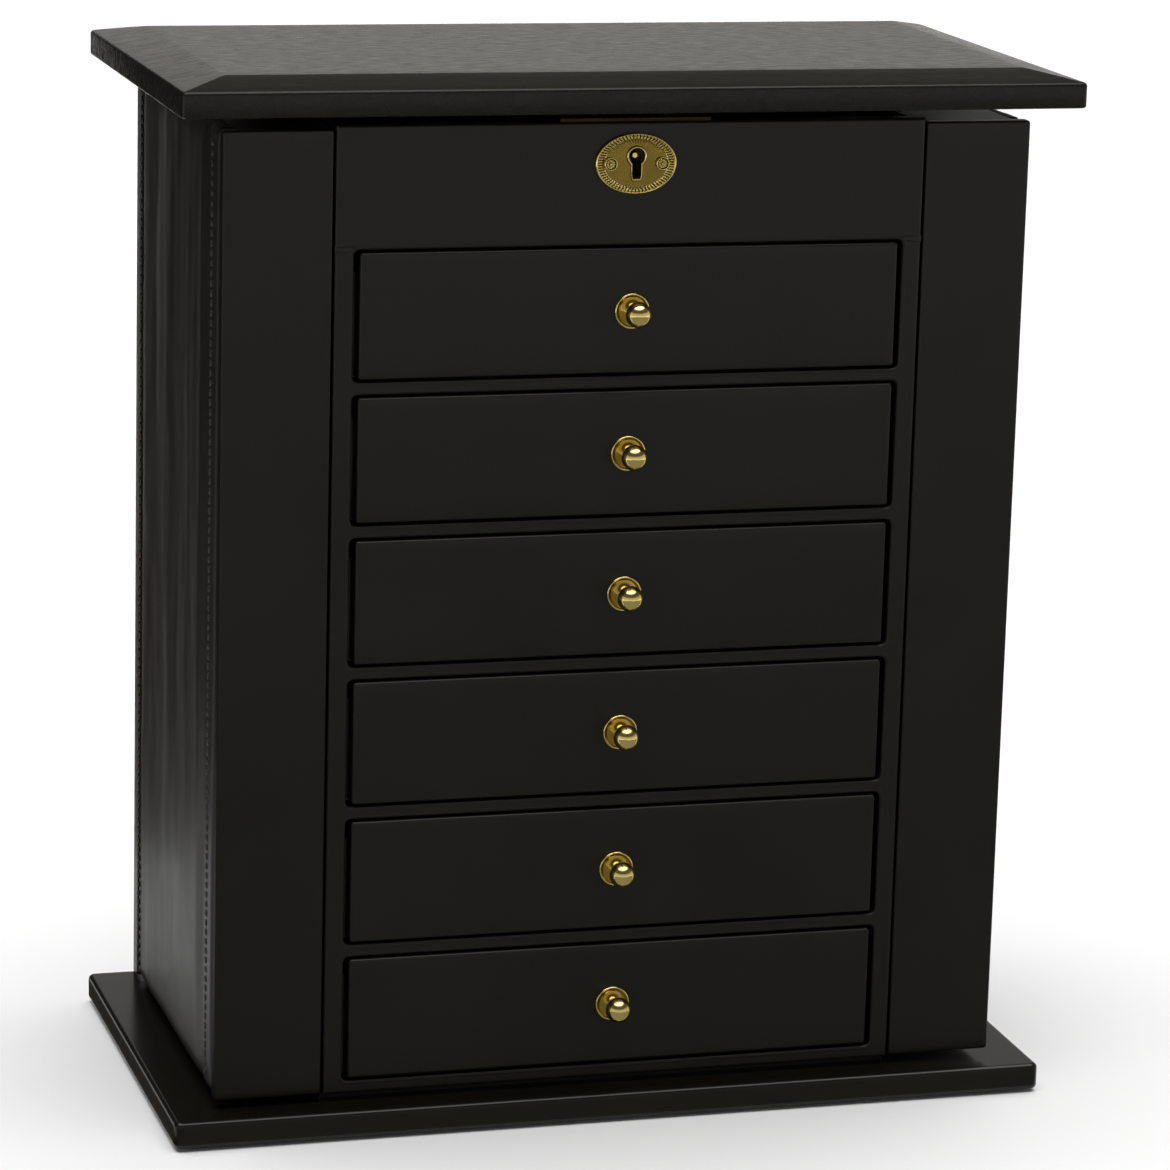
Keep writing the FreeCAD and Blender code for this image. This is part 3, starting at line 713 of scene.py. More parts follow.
@dataclass
class Finishes:
    """Every finish on the chest, made once."""

    board: bpy.types.Material = field(init=False)
    lid: bpy.types.Material = field(init=False)
    base: bpy.types.Material = field(init=False)
    padded: bpy.types.Material = field(init=False)
    edge: bpy.types.Material = field(init=False)
    border: bpy.types.Material = field(init=False)
    brass: bpy.types.Material = field(init=False)
    satin_and_painted_shade_brass: bpy.types.Material = field(init=False)
    cove_painted_shade_brass: bpy.types.Material = field(init=False)
    painted_shade_brass: bpy.types.Material = field(init=False)
    velvet: bpy.types.Material = field(init=False)
    felt: bpy.types.Material = field(init=False)
    steel: bpy.types.Material = field(init=False)
    mirror: bpy.types.Material = field(init=False)
    thread: bpy.types.Material = field(init=False)

    def __post_init__(self) -> None:
        """Builds the materials."""
        self.board = CoatedLeather("coated_leather_on_board").build()
        self.lid = CoatedLeather("coated_leather_streaked", grain=Grain.STREAKED, roughness=0.27,
                                 specular=0.22).build()
        self.base = CoatedLeather("coated_leather_satin", roughness=0.21, roughness_spread=0.04,
                                  pebble_depth_mm=0.012).build()
        self.padded = CoatedLeather("coated_leather_padded", roughness=0.44, specular=0.27, deep="0e0d0b",
                                    worn="1c1915", pebble_mm=1.6, pebble_depth_mm=0.06).build()
        # A darker, duller copy of the board leather: it paints the shade on the door fronts' outer side
        # faces.
        self.edge = CoatedLeather("coated_leather_painted_shade_edge", roughness=0.6, specular=0.06, deep="070605",
                                  worn="0b0a08").build()
        self.border = CoatedLeather("coated_leather_border", grain=Grain.STREAKED, roughness=0.36,
                                    specular=0.10).build()
        self.brass = PolishedBrass("polished_brass").build()
        # Satin brass: its rougher sheen is the field's satin finish, and its darker colour paints the shade
        # in the sunk field.
        self.satin_and_painted_shade_brass = PolishedBrass("satin_and_painted_shade_brass", bright="8c7738", aged="75622a", roughness=0.26,
                                         cloud_mm=9.0).build()
        # A darker copy of the brass: it paints the shade in the hollow of each knob's rose.
        self.cove_painted_shade_brass = PolishedBrass("cove_painted_shade_brass", bright="c4a64a", aged="8f7228", roughness=0.16).build()
        # A dark copy of the brass: it paints the shade on the plates in the gap under the lid and in the
        # escutcheon's grooves and valleys.
        self.painted_shade_brass = PolishedBrass("brass_in_painted_shade", bright="40331c", aged="2a200f",
                                        roughness=0.45).build()
        self.velvet = PileCloth("cut_pile_velvet").build()
        self.felt = PileCloth("pressed_wool_felt", deep="161616", brushed="262626", sheen=0.2).build()
        self.steel = ZincSteel("zinc_plated_steel").build()
        self.mirror = SilveredGlass("silvered_mirror_glass").build()
        self.thread = WaxedThread("waxed_thread").build()


# ---- sub-assemblies --------------------------------------------------------------------------

class Side(Enum):
    """Which side of the chest a door is on; the value is its direction along X."""

    LEFT = -1
    RIGHT = 1

    @property
    def word(self) -> str:
        """The side's name in nodes and bodies."""
        return self.name.lower()


@dataclass
class Carcass:
    """The fixed box: base board, walls, face frame, shelves and felt pads."""

    finishes: Finishes
    pad_edge: float = 0.35 * MM
    pad_edge_share: float = 0.3     # at most this much of a disc's thickness
    disc_points: int = 28
    opening_gap_x: float = 2.2 * MM
    opening_gap_z: float = 1.2 * MM
    opening_corner: float = 1.8 * MM
    roll_radius: float = 1.0 * MM
    roll_in_x: float = 0.40 * MM    # how far the roll stands into the opening at its sides
    roll_in_z: float = 0.05 * MM    # and at its head and foot
    roll_proud: float = 0.08 * MM
    roll_points: int = 14
    seam_sink: float = 0.12 * MM
    seam_reach: float = 1.2 * MM
    seam_depth: float = 3.0 * MM
    seam_edge: float = 0.15 * MM
    seam_corner: float = 0.3 * MM

    def build(self) -> None:
        """Dresses the boards and makes the felt pieces."""
        f = self.finishes
        dress_nodes(("base_board",), f.base)
        dress_nodes(("back_panel", "floor_panel", "drawer_shelves", "tray_deck", "inner_wall_left",
                     "inner_wall_right", "face_frame", "lock_panel"), f.board)
        dress_nodes(("lid_hinge_base_left", "lid_hinge_base_right", "door_pivot_top_left",
                     "door_pivot_top_right"), f.brass)
        dress_nodes(("door_pivot_bottom_left", "door_pivot_bottom_right"), f.steel)
        seat(joined("opening_rolls", [self.opening_roll(n) for n in range(1, 7)]), "carcass",
             f.board)
        for side in Side:
            seat(self.seam_strip(side), "carcass", f.board)
        for node in ("foot_pads", "lid_bumpers"):
            seat(joined(node + "_felt", self.felt_discs(node)), "carcass", f.felt, stands_for=node)

    def seam_strip(self, side: Side) -> bpy.types.Object:
        """The turned leather that closes the seam between the lock panel and a stile.

        Args:
            side: which stile.

        Returns:
            The new object.
        """
        panel = node_box("lock_panel")
        front = node_box("drawer_front_1")
        stile = front[1].x + self.opening_gap_x
        outer = panel[1].x
        inner, outer = sorted((side.value * stile, side.value * outer))
        low = Vector((inner, panel[0].y + self.seam_sink, panel[0].z - self.seam_reach))
        high = Vector((outer, panel[0].y + self.seam_depth, panel[0].z + self.seam_reach))
        centre = (low + high) / 2
        rings = []
        for inset, y in ((self.seam_edge, high.y), (0.0, high.y - self.seam_edge),
                         (0.0, low.y + self.seam_edge), (self.seam_edge * 0.3, low.y + self.seam_edge * 0.3),
                         (self.seam_edge, low.y)):
            outline = rounded_outline(high.x - low.x - 2 * inset, high.z - low.z - 2 * inset,
                                      self.seam_corner - inset)
            rings.append([Vector((centre.x + a, y, centre.z + b)) for a, b in outline])
        return loft("seam_strip_" + side.word, rings)

    def opening_roll(self, number: int) -> bpy.types.Object:
        """The rolled leather edge round one drawer's opening.

        Args:
            number: the drawer's number.

        Returns:
            The new object.
        """
        low, high = node_box("drawer_front_" + str(number))
        face = node_box("face_frame")[0].y
        x, z = (low.x + high.x) / 2, (low.z + high.z) / 2
        rings = []
        for k in range(self.roll_points):
            turn = 2 * math.pi * k / self.roll_points
            inset = self.roll_radius * (math.cos(turn) - 1.0)
            across = high.x - low.x + 2 * (self.opening_gap_x - self.roll_in_x - inset)
            up = high.z - low.z + 2 * (self.opening_gap_z - self.roll_in_z - inset)
            y = face + self.roll_radius - self.roll_proud + self.roll_radius * math.sin(turn)
            rings.append([Vector((x + a, y, z + b))
                          for a, b in rounded_outline(across, up, self.opening_corner - inset)])
        return ring_band("opening_roll", rings)

    def felt_discs(self, node: str) -> list[bpy.types.Object]:
        """One soft-edged disc for each of the four in a node of the frame.

        Args:
            node: the node that holds four discs.

        Returns:
            The new objects.
        """
        low, high = node_box(node)
        radius = self.disc_radius(node)
        discs = []
        for x in (low.x + radius, high.x - radius):
            for y in (low.y + radius, high.y - radius):
                discs.append(self.disc(Vector((x, y, low.z)), radius, high.z - low.z))
        return discs

    def disc_radius(self, node: str) -> float:
        """The radius of one disc, from the points round the node's lowest corner.

        Args:
            node: the node that holds four discs.

        Returns:
            The radius, in metres.
        """
        low, high = node_box(node)
        near = [v.co.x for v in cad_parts[node].data.vertices if v.co.x < (low.x + high.x) / 2]
        return (max(near) - low.x) / 2

    def disc(self, foot: Vector, radius: float, height: float) -> bpy.types.Object:
        """A felt disc with a pinched edge.

        Args:
            foot: the middle of its underside.
            radius: its radius.
            height: its thickness.

        Returns:
            The new object.
        """
        edge = min(self.pad_edge, height * self.pad_edge_share)
        levels = ((radius - edge, 0.0), (radius, edge), (radius, height - edge), (radius - edge, height))
        return loft("felt_disc", [circle(foot + Vector((0, 0, z)), Vector((r, 0, 0)), Vector((0, r, 0)),
                                         self.disc_points) for r, z in levels])


@dataclass
class Lock:
    """Escutcheon, lock case, bolt and the plates that meet between the lid and the front."""

    finishes: Finishes
    ribs: int = 66
    valley: float = 0.3             # between the ribs, where dark brass paints the shade in the valleys
    ring_in: float = 0.80           # inner edge of the ribbed ring, as a share of the plate
    ring_out: float = 0.94
    satin_out: float = 0.776        # where the satin field ends; its darker colour is painted shade
    ring_groove: float = 0.1 * MM   # the ring's foot below the field
    rib_floor: float = 0.25         # the valleys' height, as a share of the ribs'
    rib_points: int = 6
    shares: tuple[float, ...] = (0.0, 0.06, 0.2, 0.45, 0.62, 0.70)  # rings of points in the plain field
    edge_share: float = 0.72        # where the rings of points stand close
    edge_rings: int = 22
    rib_height: float = 0.62 * MM
    rim_height: float = 0.45 * MM
    keyhole_rim: float = 0.8 * MM
    keyhole_slot_width: float = 3.1 * MM
    keyhole_radius: float = 2.65 * MM
    keyhole_slot_length: float = 7.2 * MM
    keyhole_raise: float = 2.4 * MM
    field_sink: float = 0.45 * MM
    collar_rise: float = 0.45 * MM
    collar_points: int = 72
    rosette_radius: float = 2.15 * MM
    rosette_points: int = 64
    petals: int = 8
    petal_rise: float = 0.22
    petal_band: tuple[float, float] = (0.4, 0.75)
    rosette_grooves: tuple[tuple[float, float], ...] = ((0.70, 0.83), (0.28, 0.37))
    rosette_section: tuple[tuple[float, float], ...] = (    # share of the radius, share of the height
        (1.0, -0.25), (1.0, 0.45), (0.94, 0.62), (0.84, 0.55), (0.78, 0.30), (0.70, 0.34),
        (0.56, 0.62), (0.42, 0.55), (0.34, 0.28), (0.28, 0.42), (0.20, 0.85), (0.08, 1.0))

    def build(self) -> None:
        """Dresses the lock's nodes and makes the escutcheon."""
        f = self.finishes
        dress_nodes(("lock_case",), f.brass)
        # The plates sit in the shaded gap under the lid; their dark brass is painted shade.
        dress_nodes(("lock_plate", "strike_plate"), f.painted_shade_brass)
        dress_nodes(("lock_bolt",), f.steel)
        pins = joined("escutcheon_rosettes", [self.rosette(side) for side in (-1, 1)])
        seat(pins, "carcass", f.brass, stands_for="escutcheon_pins")
        # Dark brass paints the shade in the rosettes' grooves.
        second_finish(pins, f.painted_shade_brass, lambda face: any(
            inner < self.rosette_share(face.center) < outer for inner, outer in self.rosette_grooves))
        plate = seat(self.plate(), "carcass", f.brass, stands_for="escutcheon")
        # The sunk field gets satin brass, partly satin finish and partly painted shade.
        second_finish(plate, f.satin_and_painted_shade_brass, lambda face: self.share(face.center) < self.satin_out)
        # Dark brass paints the shade in the valleys between the ribs.
        second_finish(plate, f.painted_shade_brass, lambda face: (
            self.satin_out <= self.share(face.center) < self.ring_out
            and self.rib_wave(face.center) < self.valley))
        seat(self.keyhole_collar(), "carcass", f.brass)

    def middle(self) -> Vector:
        """The middle of the plate's back."""
        low, high = node_box("escutcheon")
        return Vector(((low.x + high.x) / 2, high.y, (low.z + high.z) / 2))

    def share(self, point: Vector) -> float:
        """How far out a point is, from 0 at the plate's middle to 1 at its edge.

        Args:
            point: a place on the plate.

        Returns:
            The share of the plate's radius.
        """
        low, high = node_box("escutcheon")
        away = point - self.middle()
        return math.hypot(away.x / ((high.x - low.x) / 2), away.z / ((high.z - low.z) / 2))

    def rib_wave(self, point: Vector) -> float:
        """1 on top of a rib of the ring and 0 between two, at a place on the plate.

        Args:
            point: a place on the plate.

        Returns:
            The height of the wave there.
        """
        low, high = node_box("escutcheon")
        away = point - self.middle()
        turn = math.atan2(away.z / (high.z - low.z), away.x / (high.x - low.x))
        return 0.5 + 0.5 * math.cos(self.ribs * turn)

    def relief(self, share: float, turn: float, thick: float) -> float:
        """The plate's height at a share of its radius.

        Args:
            share: 0 at the middle, 1 at the edge.
            turn: the angle round the plate.
            thick: the plate's own thickness.

        Returns:
            How far the face stands from the back.
        """
        if share > self.ring_out:
            across = (share - self.ring_out) / (1 - self.ring_out)
            bead = math.sin(math.pi * min(across * 0.9 + 0.1, 1.0))
            return thick - self.rim_height + self.rim_height * bead
        if share > self.ring_in:
            across = (share - self.ring_in) / (self.ring_out - self.ring_in)
            dome = math.sin(math.pi * across) ** 0.7
            rib = 0.5 + 0.5 * math.cos(self.ribs * turn)
            height = self.rib_height * dome * (self.rib_floor + (1 - self.rib_floor) * rib)
            return thick - self.field_sink - self.ring_groove + height
        return thick - self.field_sink

    def hole_edge(self, turn: float) -> float:
        """The distance from the circle's centre to the keyhole's edge, at an angle.

        Args:
            turn: the angle, from +X towards +Z.

        Returns:
            The distance, in metres.
        """
        half = self.keyhole_slot_width / 2
        down = -math.sin(turn)
        across = abs(math.cos(turn))
        if down <= 0 or across / max(down, 1e-9) > half / (self.keyhole_radius ** 2 - half ** 2) ** 0.5:
            return self.keyhole_radius
        reach = self.keyhole_slot_length / down
        if across > 1e-9:
            reach = min(reach, half / across)
        return reach

    def plate(self) -> bpy.types.Object:
        """The oval plate with its rim, ribbed ring, sunk field and keyhole.

        Returns:
            The new object.
        """
        low, high = node_box("escutcheon")
        half_w, half_h = (high.x - low.x) / 2, (high.z - low.z) / 2
        thick = high.y - low.y
        middle = self.middle()
        eye = Vector((0, 0, self.keyhole_raise))
        count = self.ribs * self.rib_points

        def between(turn: float, share: float) -> Vector:
            """A point on the plate's plan, from the keyhole's edge at 0 to the rim at 1."""
            edge = eye + Vector((math.cos(turn), 0, math.sin(turn))) * self.hole_edge(turn)
            return edge.lerp(Vector((half_w * math.cos(turn), 0, half_h * math.sin(turn))), share)

        turns = [2 * math.pi * k / count for k in range(count)]
        shares = list(self.shares)
        shares += [self.edge_share + (1 - self.edge_share) * k / self.edge_rings
                   for k in range(self.edge_rings + 1)]
        front = []
        for share in shares:
            for flat in (between(turn, share) for turn in turns):
                out = math.hypot(flat.x / half_w, flat.z / half_h)
                angle = math.atan2(flat.z / half_h, flat.x / half_w)
                front.append(middle + Vector((flat.x, -self.relief(out, angle, thick), flat.z)))
        back = [middle + between(turn, share) for share in (0.0, 1.0) for turn in turns]
        start = len(front)
        faces = grid_faces(len(shares), count, wrap=True) + grid_faces(2, count, start, wrap=True)
        outer = (len(shares) - 1) * count
        for k in range(count):
            n = (k + 1) % count
            faces.append((outer + k, outer + n, start + count + n, start + count + k))
            faces.append((k, n, start + n, start + k))
        return mesh_piece("escutcheon_plate", front + back, faces)

    def rosette_share(self, point: Vector) -> float:
        """How far out a point is on its own nail head, from 0 at the middle to 1 at the edge.

        Args:
            point: a place on a nail head.

        Returns:
            The share of the nail head's radius.
        """
        low, high = node_box("escutcheon_pins")
        x = math.copysign(((high.x - low.x) - (high.z - low.z)) / 2, point.x)
        return math.hypot(point.x - x, point.z - (low.z + high.z) / 2) / self.rosette_radius

    def rosette(self, side: int) -> bpy.types.Object:
        """A round nail head with a rim, a ring of petals and a centre boss.

        Args:
            side: -1 for the left one, 1 for the right one.

        Returns:
            The new object.
        """
        low, high = node_box("escutcheon_pins")
        x = side * ((high.x - low.x) - (high.z - low.z)) / 2
        z = (low.z + high.z) / 2
        radius = self.rosette_radius
        back = self.middle().y - (node_box("escutcheon")[1].y - node_box("escutcheon")[0].y)
        proud = back - low.y
        rings = []
        for share, rise in self.rosette_section:
            petal = self.petal_rise if self.petal_band[0] < share < self.petal_band[1] else 0.0
            ring = []
            for k in range(self.rosette_points):
                turn = 2 * math.pi * k / self.rosette_points
                wave = petal * math.cos(self.petals * turn)
                ring.append(Vector((x + radius * share * math.cos(turn), back - proud * (rise + wave),
                                    z + radius * share * math.sin(turn))))
            rings.append(ring)
        return loft("rosette", rings)

    def keyhole_collar(self) -> bpy.types.Object:
        """The raised lip round the keyhole.

        Returns:
            The new object.
        """
        low, high = node_box("escutcheon")
        middle = self.middle()
        thick = high.y - low.y
        eye = Vector((0, 0, self.keyhole_raise))
        foot, crest = thick - self.field_sink, thick + self.collar_rise
        section = ((0.0, foot), (0.0, crest - 0.2 * MM), (0.2 * MM, crest),
                   (self.keyhole_rim * 0.6, crest - 0.05 * MM), (self.keyhole_rim, foot))
        rings = []
        for out, rise in section:
            ring = []
            for k in range(self.collar_points):
                turn = 2 * math.pi * k / self.collar_points
                reach = self.hole_edge(turn) + out
                ring.append(middle + eye + Vector((math.cos(turn) * reach, -rise, math.sin(turn) * reach)))
            rings.append(ring)
        return ring_band("keyhole_collar", rings)


@dataclass
class Lid:
    """The lid board with its velvet lining, framed mirror and hinge leaves."""

    finishes: Finishes
    lining_edge: float = 1.2 * MM
    lining_corner: float = 3.0 * MM
    lining_crown: float = 0.15 * MM
    lining_fill: float = 0.7
    plan_radius: float = 1.5 * MM
    lower_radius: float = 0.9 * MM
    upper_radius: float = 1.3 * MM
    border: float = 16.0 * MM
    rise: float = 3.0 * MM
    crease_blend: float = 1.2 * MM
    frame_width: float = 3.2 * MM
    frame_proud: float = 0.7 * MM
    frame_corner: float = 1.5 * MM

    def build(self) -> None:
        """Dresses the board and makes the lining and the mirror's frame."""
        f = self.finishes
        board = seat(self.board(), "lid", f.lid, stands_for="lid_board")
        second_finish(board, f.border, lambda face: face.normal.y < -0.08 and face.normal.z > 0.8)
        dress_nodes(("mirror_glass",), f.mirror)
        dress_nodes(("lid_hinge_leaf_left", "lid_hinge_leaf_right"), f.brass)
        low, high = node_box("lid_lining")
        lining = pillow_pad("lid_lining_velvet", low, high, self.lining_corner, self.lining_edge,
                            self.lining_crown)
        lining.data.transform(Matrix.Translation((0, 0, low.z + high.z)) @ Matrix.Scale(-1, 4, (0, 0, 1)))
        lining.data.flip_normals()
        seat(lining, "lid", f.velvet, stands_for="lid_lining")
        seat(self.mirror_frame(), "lid", f.brass)

    def board(self) -> bpy.types.Object:
        """The wrapped board: upright side with rolled edges, sloped border and flat top.

        Returns:
            The new object.
        """
        low, high = node_box("lid_board")
        shoulder = high.z - self.rise
        section = [(9 * MM, low.z), (4 * MM, low.z)]
        for turn in (math.pi / 2 * k / 5 for k in range(6)):
            section.append((self.lower_radius * (1 - math.sin(turn)),
                            low.z + self.lower_radius * (1 - math.cos(turn))))
        slope = math.atan2(self.rise, self.border)
        for turn in ((math.pi / 2 - slope) * k / 6 for k in range(7)):
            section.append((self.upper_radius * (1 - math.cos(turn)),
                            shoulder - self.upper_radius * (1 - math.sin(turn))))
        inset, z = section[-1]
        flat = self.border + self.crease_blend
        for share in (0.35, 0.7, 0.93):
            section.append((inset + (self.border - inset) * share, z + (high.z - z) * share * 0.985))
        section += [(self.border - 0.2 * MM, high.z - 0.16 * MM),
                    (self.border + 0.3 * MM, high.z - 0.05 * MM), (flat, high.z), (flat + 6 * MM, high.z)]
        centre = (low + high) / 2
        rings = []
        for inset, z in section:
            outline = rounded_outline(high.x - low.x - 2 * inset, high.y - low.y - 2 * inset,
                                      max(self.plan_radius - inset * 0.2, 0.5 * MM))
            rings.append([Vector((centre.x + x, centre.y + y, z)) for x, y in outline])
        return loft("lid_wrapped_board", rings)

    def mirror_frame(self) -> bpy.types.Object:
        """A rounded brass moulding round the mirror, mitred at its corners.

        Returns:
            The new object.
        """
        low, high = node_box("mirror_glass")
        centre = (low + high) / 2
        top = high.z
        width, depth = high.x - low.x, high.y - low.y
        section = [(-0.6 * MM, low.z - 0.05 * MM), (0.2 * MM, low.z - self.frame_proud),
                   (self.frame_width * 0.45, low.z - self.frame_proud * 1.25),
                   (self.frame_width * 0.85, low.z - self.frame_proud * 0.6),
                   (self.frame_width, low.z + 0.4 * MM), (self.frame_width, top), (0.05 * MM, top)]
        rings = []
        for out, z in section:
            outline = rounded_outline(width + 2 * out, depth + 2 * out, self.frame_corner + max(out, 0.0))
            rings.append([Vector((centre.x + x, centre.y + y, z)) for x, y in outline])
        return ring_band("mirror_moulding", rings)


@dataclass
class TopTray:
    """The lined tray under the lid, with ring rolls on the left and two wells on the right."""

    finishes: Finishes
    lining_fill: float = 0.8
    roll_fill: float = 0.9
    roll_count: int = 8
    roll_points: int = 28
    roll_steps: int = 26
    roll_squeeze: float = 0.985     # each roll's depth against its height, where its neighbours press it
    roll_flat: float = 0.96         # how far down its round goes before the flat underside
    end_round: float = 3.0 * MM
    end_radius: float = 0.72        # the gathered end against the full radius
    unevenness: float = 0.012

    def build(self) -> None:
        """Makes the lining and the rolls."""
        f = self.finishes
        dress_nodes(("tray_divider",), f.velvet)
        low, high = node_box("tray_lining")
        lining = pillow_pad("tray_lining_velvet", low, high, 1.5 * MM, 0.6 * MM, 0.1 * MM)
        seat(lining, "carcass", f.velvet, stands_for="tray_lining")
        rolls = joined("ring_rolls_velvet", [self.roll(k) for k in range(self.roll_count)])
        seat(rolls, "carcass", f.velvet, stands_for="ring_rolls")

    def roll(self, place: int) -> bpy.types.Object:
        """One foam roll, plump in the middle, flat underneath and gathered at its ends.

        Args:
            place: its number, from the front.

        Returns:
            The new object.
        """
        low, high = node_box("ring_rolls")
        radius = (high.z - low.z) / 2
        pitch = (high.y - low.y - 2 * radius) / (self.roll_count - 1)
        centre = Vector((0, low.y + radius + place * pitch, low.z + radius))
        rings = []
        for k in range(self.roll_steps + 1):
            along = k / self.roll_steps
            x = low.x + (high.x - low.x) * along
            near_end = min(x - low.x, high.x - x)
            shrink = 1.0
            if near_end < self.end_round:
                bulge = math.sqrt(max(1 - (1 - near_end / self.end_round) ** 2, 0.0))
                shrink = self.end_radius + (1 - self.end_radius) * bulge
            ring = []
            for n in range(self.roll_points):
                turn = 2 * math.pi * n / self.roll_points
                wave = 1 + self.unevenness * noise.noise(Vector((x * 90, turn * 2, place * 7.3)))
                z = radius * shrink * wave * math.sin(turn)
                y = radius * self.roll_squeeze * shrink * wave * math.cos(turn)
                ring.append(Vector((x, centre.y + y, centre.z + max(z, -radius * self.roll_flat))))
            rings.append(ring)
        return loft("ring_roll", rings)


@dataclass
class SideDoor:
    """A swing-out side compartment with its padded leather side, stitching and necklace fittings."""

    side: Side
    finishes: Finishes
    front_grow: float = 0.55 * MM
    front_edge: float = 0.8 * MM
    front_crown: float = 0.1 * MM
    front_corner: float = 1.0 * MM
    side_fill: float = 0.5
    lining_fill: float = 0.6
    lining_thick: float = 1.6 * MM
    lining_gap: float = 0.3 * MM
    lining_set_back: float = 1.0 * MM
    columns: int = 90
    rows: int = 190
    front_step: float = 2.2 * MM    # open groove between the strip and the leather
    stitch_line: float = 10.6 * MM  # from the panel's front edge to the stitches
    welt: float = 15.0 * MM         # flat band from the front edge to the valley before the padding
    tail: float = 3.5 * MM          # flat band at the back edge
    seam_sink: float = 0.9 * MM
    valley_height: float = 0.25     # of the seam's sink, where the padding starts
    welt_height: float = 0.8        # and on the flat bands
    welt_slope: float = 2.2 * MM
    tail_slope: float = 1.2 * MM
    side_slope: float = 9.0 * MM    # how far in the padding reaches its full height
    end_slope: float = 7.0 * MM
    edge_round: float = 1.6 * MM
    edge_reach: float = 2.2 * MM
    puff: float = 1.4 * MM
    crease: float = 0.85 * MM
    crease_width: float = 24.0 * MM
    crease_length: float = 140.0 * MM
    back_stitch_line: float = 1.3 * MM  # from its back edge
    back_stitch_lift: float = 0.8 * MM
    stitch_pitch: float = 3.2 * MM
    stitch_length: float = 2.5 * MM
    stitch_width: float = 1.1 * MM  # drawn wider than the thread, with the leather that it gathers
    stitch_proud: float = 0.55 * MM
    pocket_fill: float = 0.3
    pocket_wall: float = 1.3 * MM
    pocket_corner: float = 4.0 * MM
    pocket_gather: float = 0.8 * MM
    pocket_belly: float = 0.9 * MM
    pocket_pitch: float = 8.5 * MM  # from one gather to the next
    pocket_hem: float = 6.0 * MM
    pocket_levels: int = 28
    pocket_columns: int = 8         # points to one gather
    pocket_corner_points: int = 7

    def build(self) -> None:
        """Dresses the door's boards and makes its soft pieces."""
        f = self.finishes
        word = self.side.word
        body = "door_" + word
        dress_nodes(("door_frame_" + word,), f.board)
        low, high = node_box("door_front_" + word)
        inward = Vector((-self.side.value * self.front_grow, 0, 0))
        if self.side is Side.LEFT:
            high = high + inward
        else:
            low = low + inward
        front = wrapped_board("door_wrapped_front_" + word, low, high, self.front_edge, self.front_crown,
                              self.front_corner)
        seat(front, body, f.board, stands_for="door_front_" + word)
        # The front's outer side face gets the darker leather, painted shade.
        second_finish(front, f.edge, lambda face: face.normal.x * self.side.value > 0.7)
        dress_nodes(("door_hooks_" + word,), f.brass)
        seat(self.pocket(), body, f.velvet, stands_for="door_pocket_" + word)
        seat(self.padded_panel(), body, f.padded, stands_for="door_side_" + word)
        seat(self.stitching(), body, f.thread)
        seat(self.inner_lining(), body, f.velvet)

    def outer_x(self) -> float:
        """The panel's outer face, measured from the chest's middle."""
        low, high = node_box("door_side_" + self.side.word)
        return max(abs(low.x), abs(high.x))

    def swell(self, y: float, z: float) -> float:
        """How far the leather stands out from its seams at a place on the panel.

        Args:
            y: depth, in metres.
            z: height, in metres.

        Returns:
            The distance outward from the sunk seam, in metres.
        """
        low, high = node_box("door_side_" + self.side.word)
        front = low.y + self.welt
        back = high.y - self.tail
        valley = self.valley_height
        if y < front:
            return self.seam_sink * (valley + (self.welt_height - valley)
                                     * smoothstep(0.0, self.welt_slope, front - y))
        if y > back:
            return self.seam_sink * self.welt_height * smoothstep(0.0, self.tail_slope, y - back)
        inside = min(y - front, back - y)
        ends = min(z - low.z, high.z - z)
        rise = smoothstep(0.0, self.side_slope, inside) * smoothstep(-1.0 * MM, self.end_slope, ends)
        fold = noise.noise(Vector((y / self.crease_width, z / self.crease_length, 3.7 * self.side.value)))
        fine = noise.noise(Vector((y / (self.crease_width * 0.3), z / (self.crease_length * 0.35), 11.0)))
        dimple = noise.noise(Vector((y / (self.crease_width * 0.45), z / (self.crease_width * 0.9), 23.0)))
        gather = 0.45 + 0.55 * smoothstep(0.0, 6.0 * MM, inside)
        lean = (fold * 0.8 + fine * 0.14 + dimple * 0.16) * self.crease * gather
        calm = smoothstep(0.0, 12.0 * MM, ends + 4.0 * MM)
        return self.seam_sink * valley + rise * self.puff + lean * calm

    def padded_panel(self) -> bpy.types.Object:
        """The leather-covered foam panel, creased up and down.

        Returns:
            The new object.
        """
        low, high = node_box("door_side_" + self.side.word)
        x_out = self.outer_x() - self.seam_sink
        x_in = min(abs(low.x), abs(high.x))
        y_front = low.y + self.front_step
        sign = self.side.value
        verts: list[Vector] = []
        for r in range(self.rows):
            z = low.z + (high.z - low.z) * r / (self.rows - 1)
            for c in range(self.columns):
                y = y_front + (high.y - y_front) * c / (self.columns - 1)
                edge = min(y - y_front, high.y - y, z - low.z, high.z - z)
                round_in = self.edge_round * (1 - smoothstep(0.0, self.edge_reach, edge)) ** 2
                verts.append(Vector((sign * (x_out + self.swell(y, z) - round_in), y, z)))
        faces = grid_faces(self.rows, self.columns)
        rim = list(range(self.columns))
        rim += [r * self.columns + self.columns - 1 for r in range(1, self.rows)]
        rim += [(self.rows - 1) * self.columns + c for c in range(self.columns - 2, -1, -1)]
        rim += [r * self.columns for r in range(self.rows - 2, 0, -1)]
        start = len(verts)
        verts += [Vector((sign * x_in, verts[i].y, verts[i].z)) for i in rim]
        for k in range(len(rim)):
            n = (k + 1) % len(rim)
            faces.append((rim[k], rim[n], start + n, start + k))
        faces.append(tuple(range(start, start + len(rim))))
        return mesh_piece("padded_side_" + self.side.word, verts, faces)

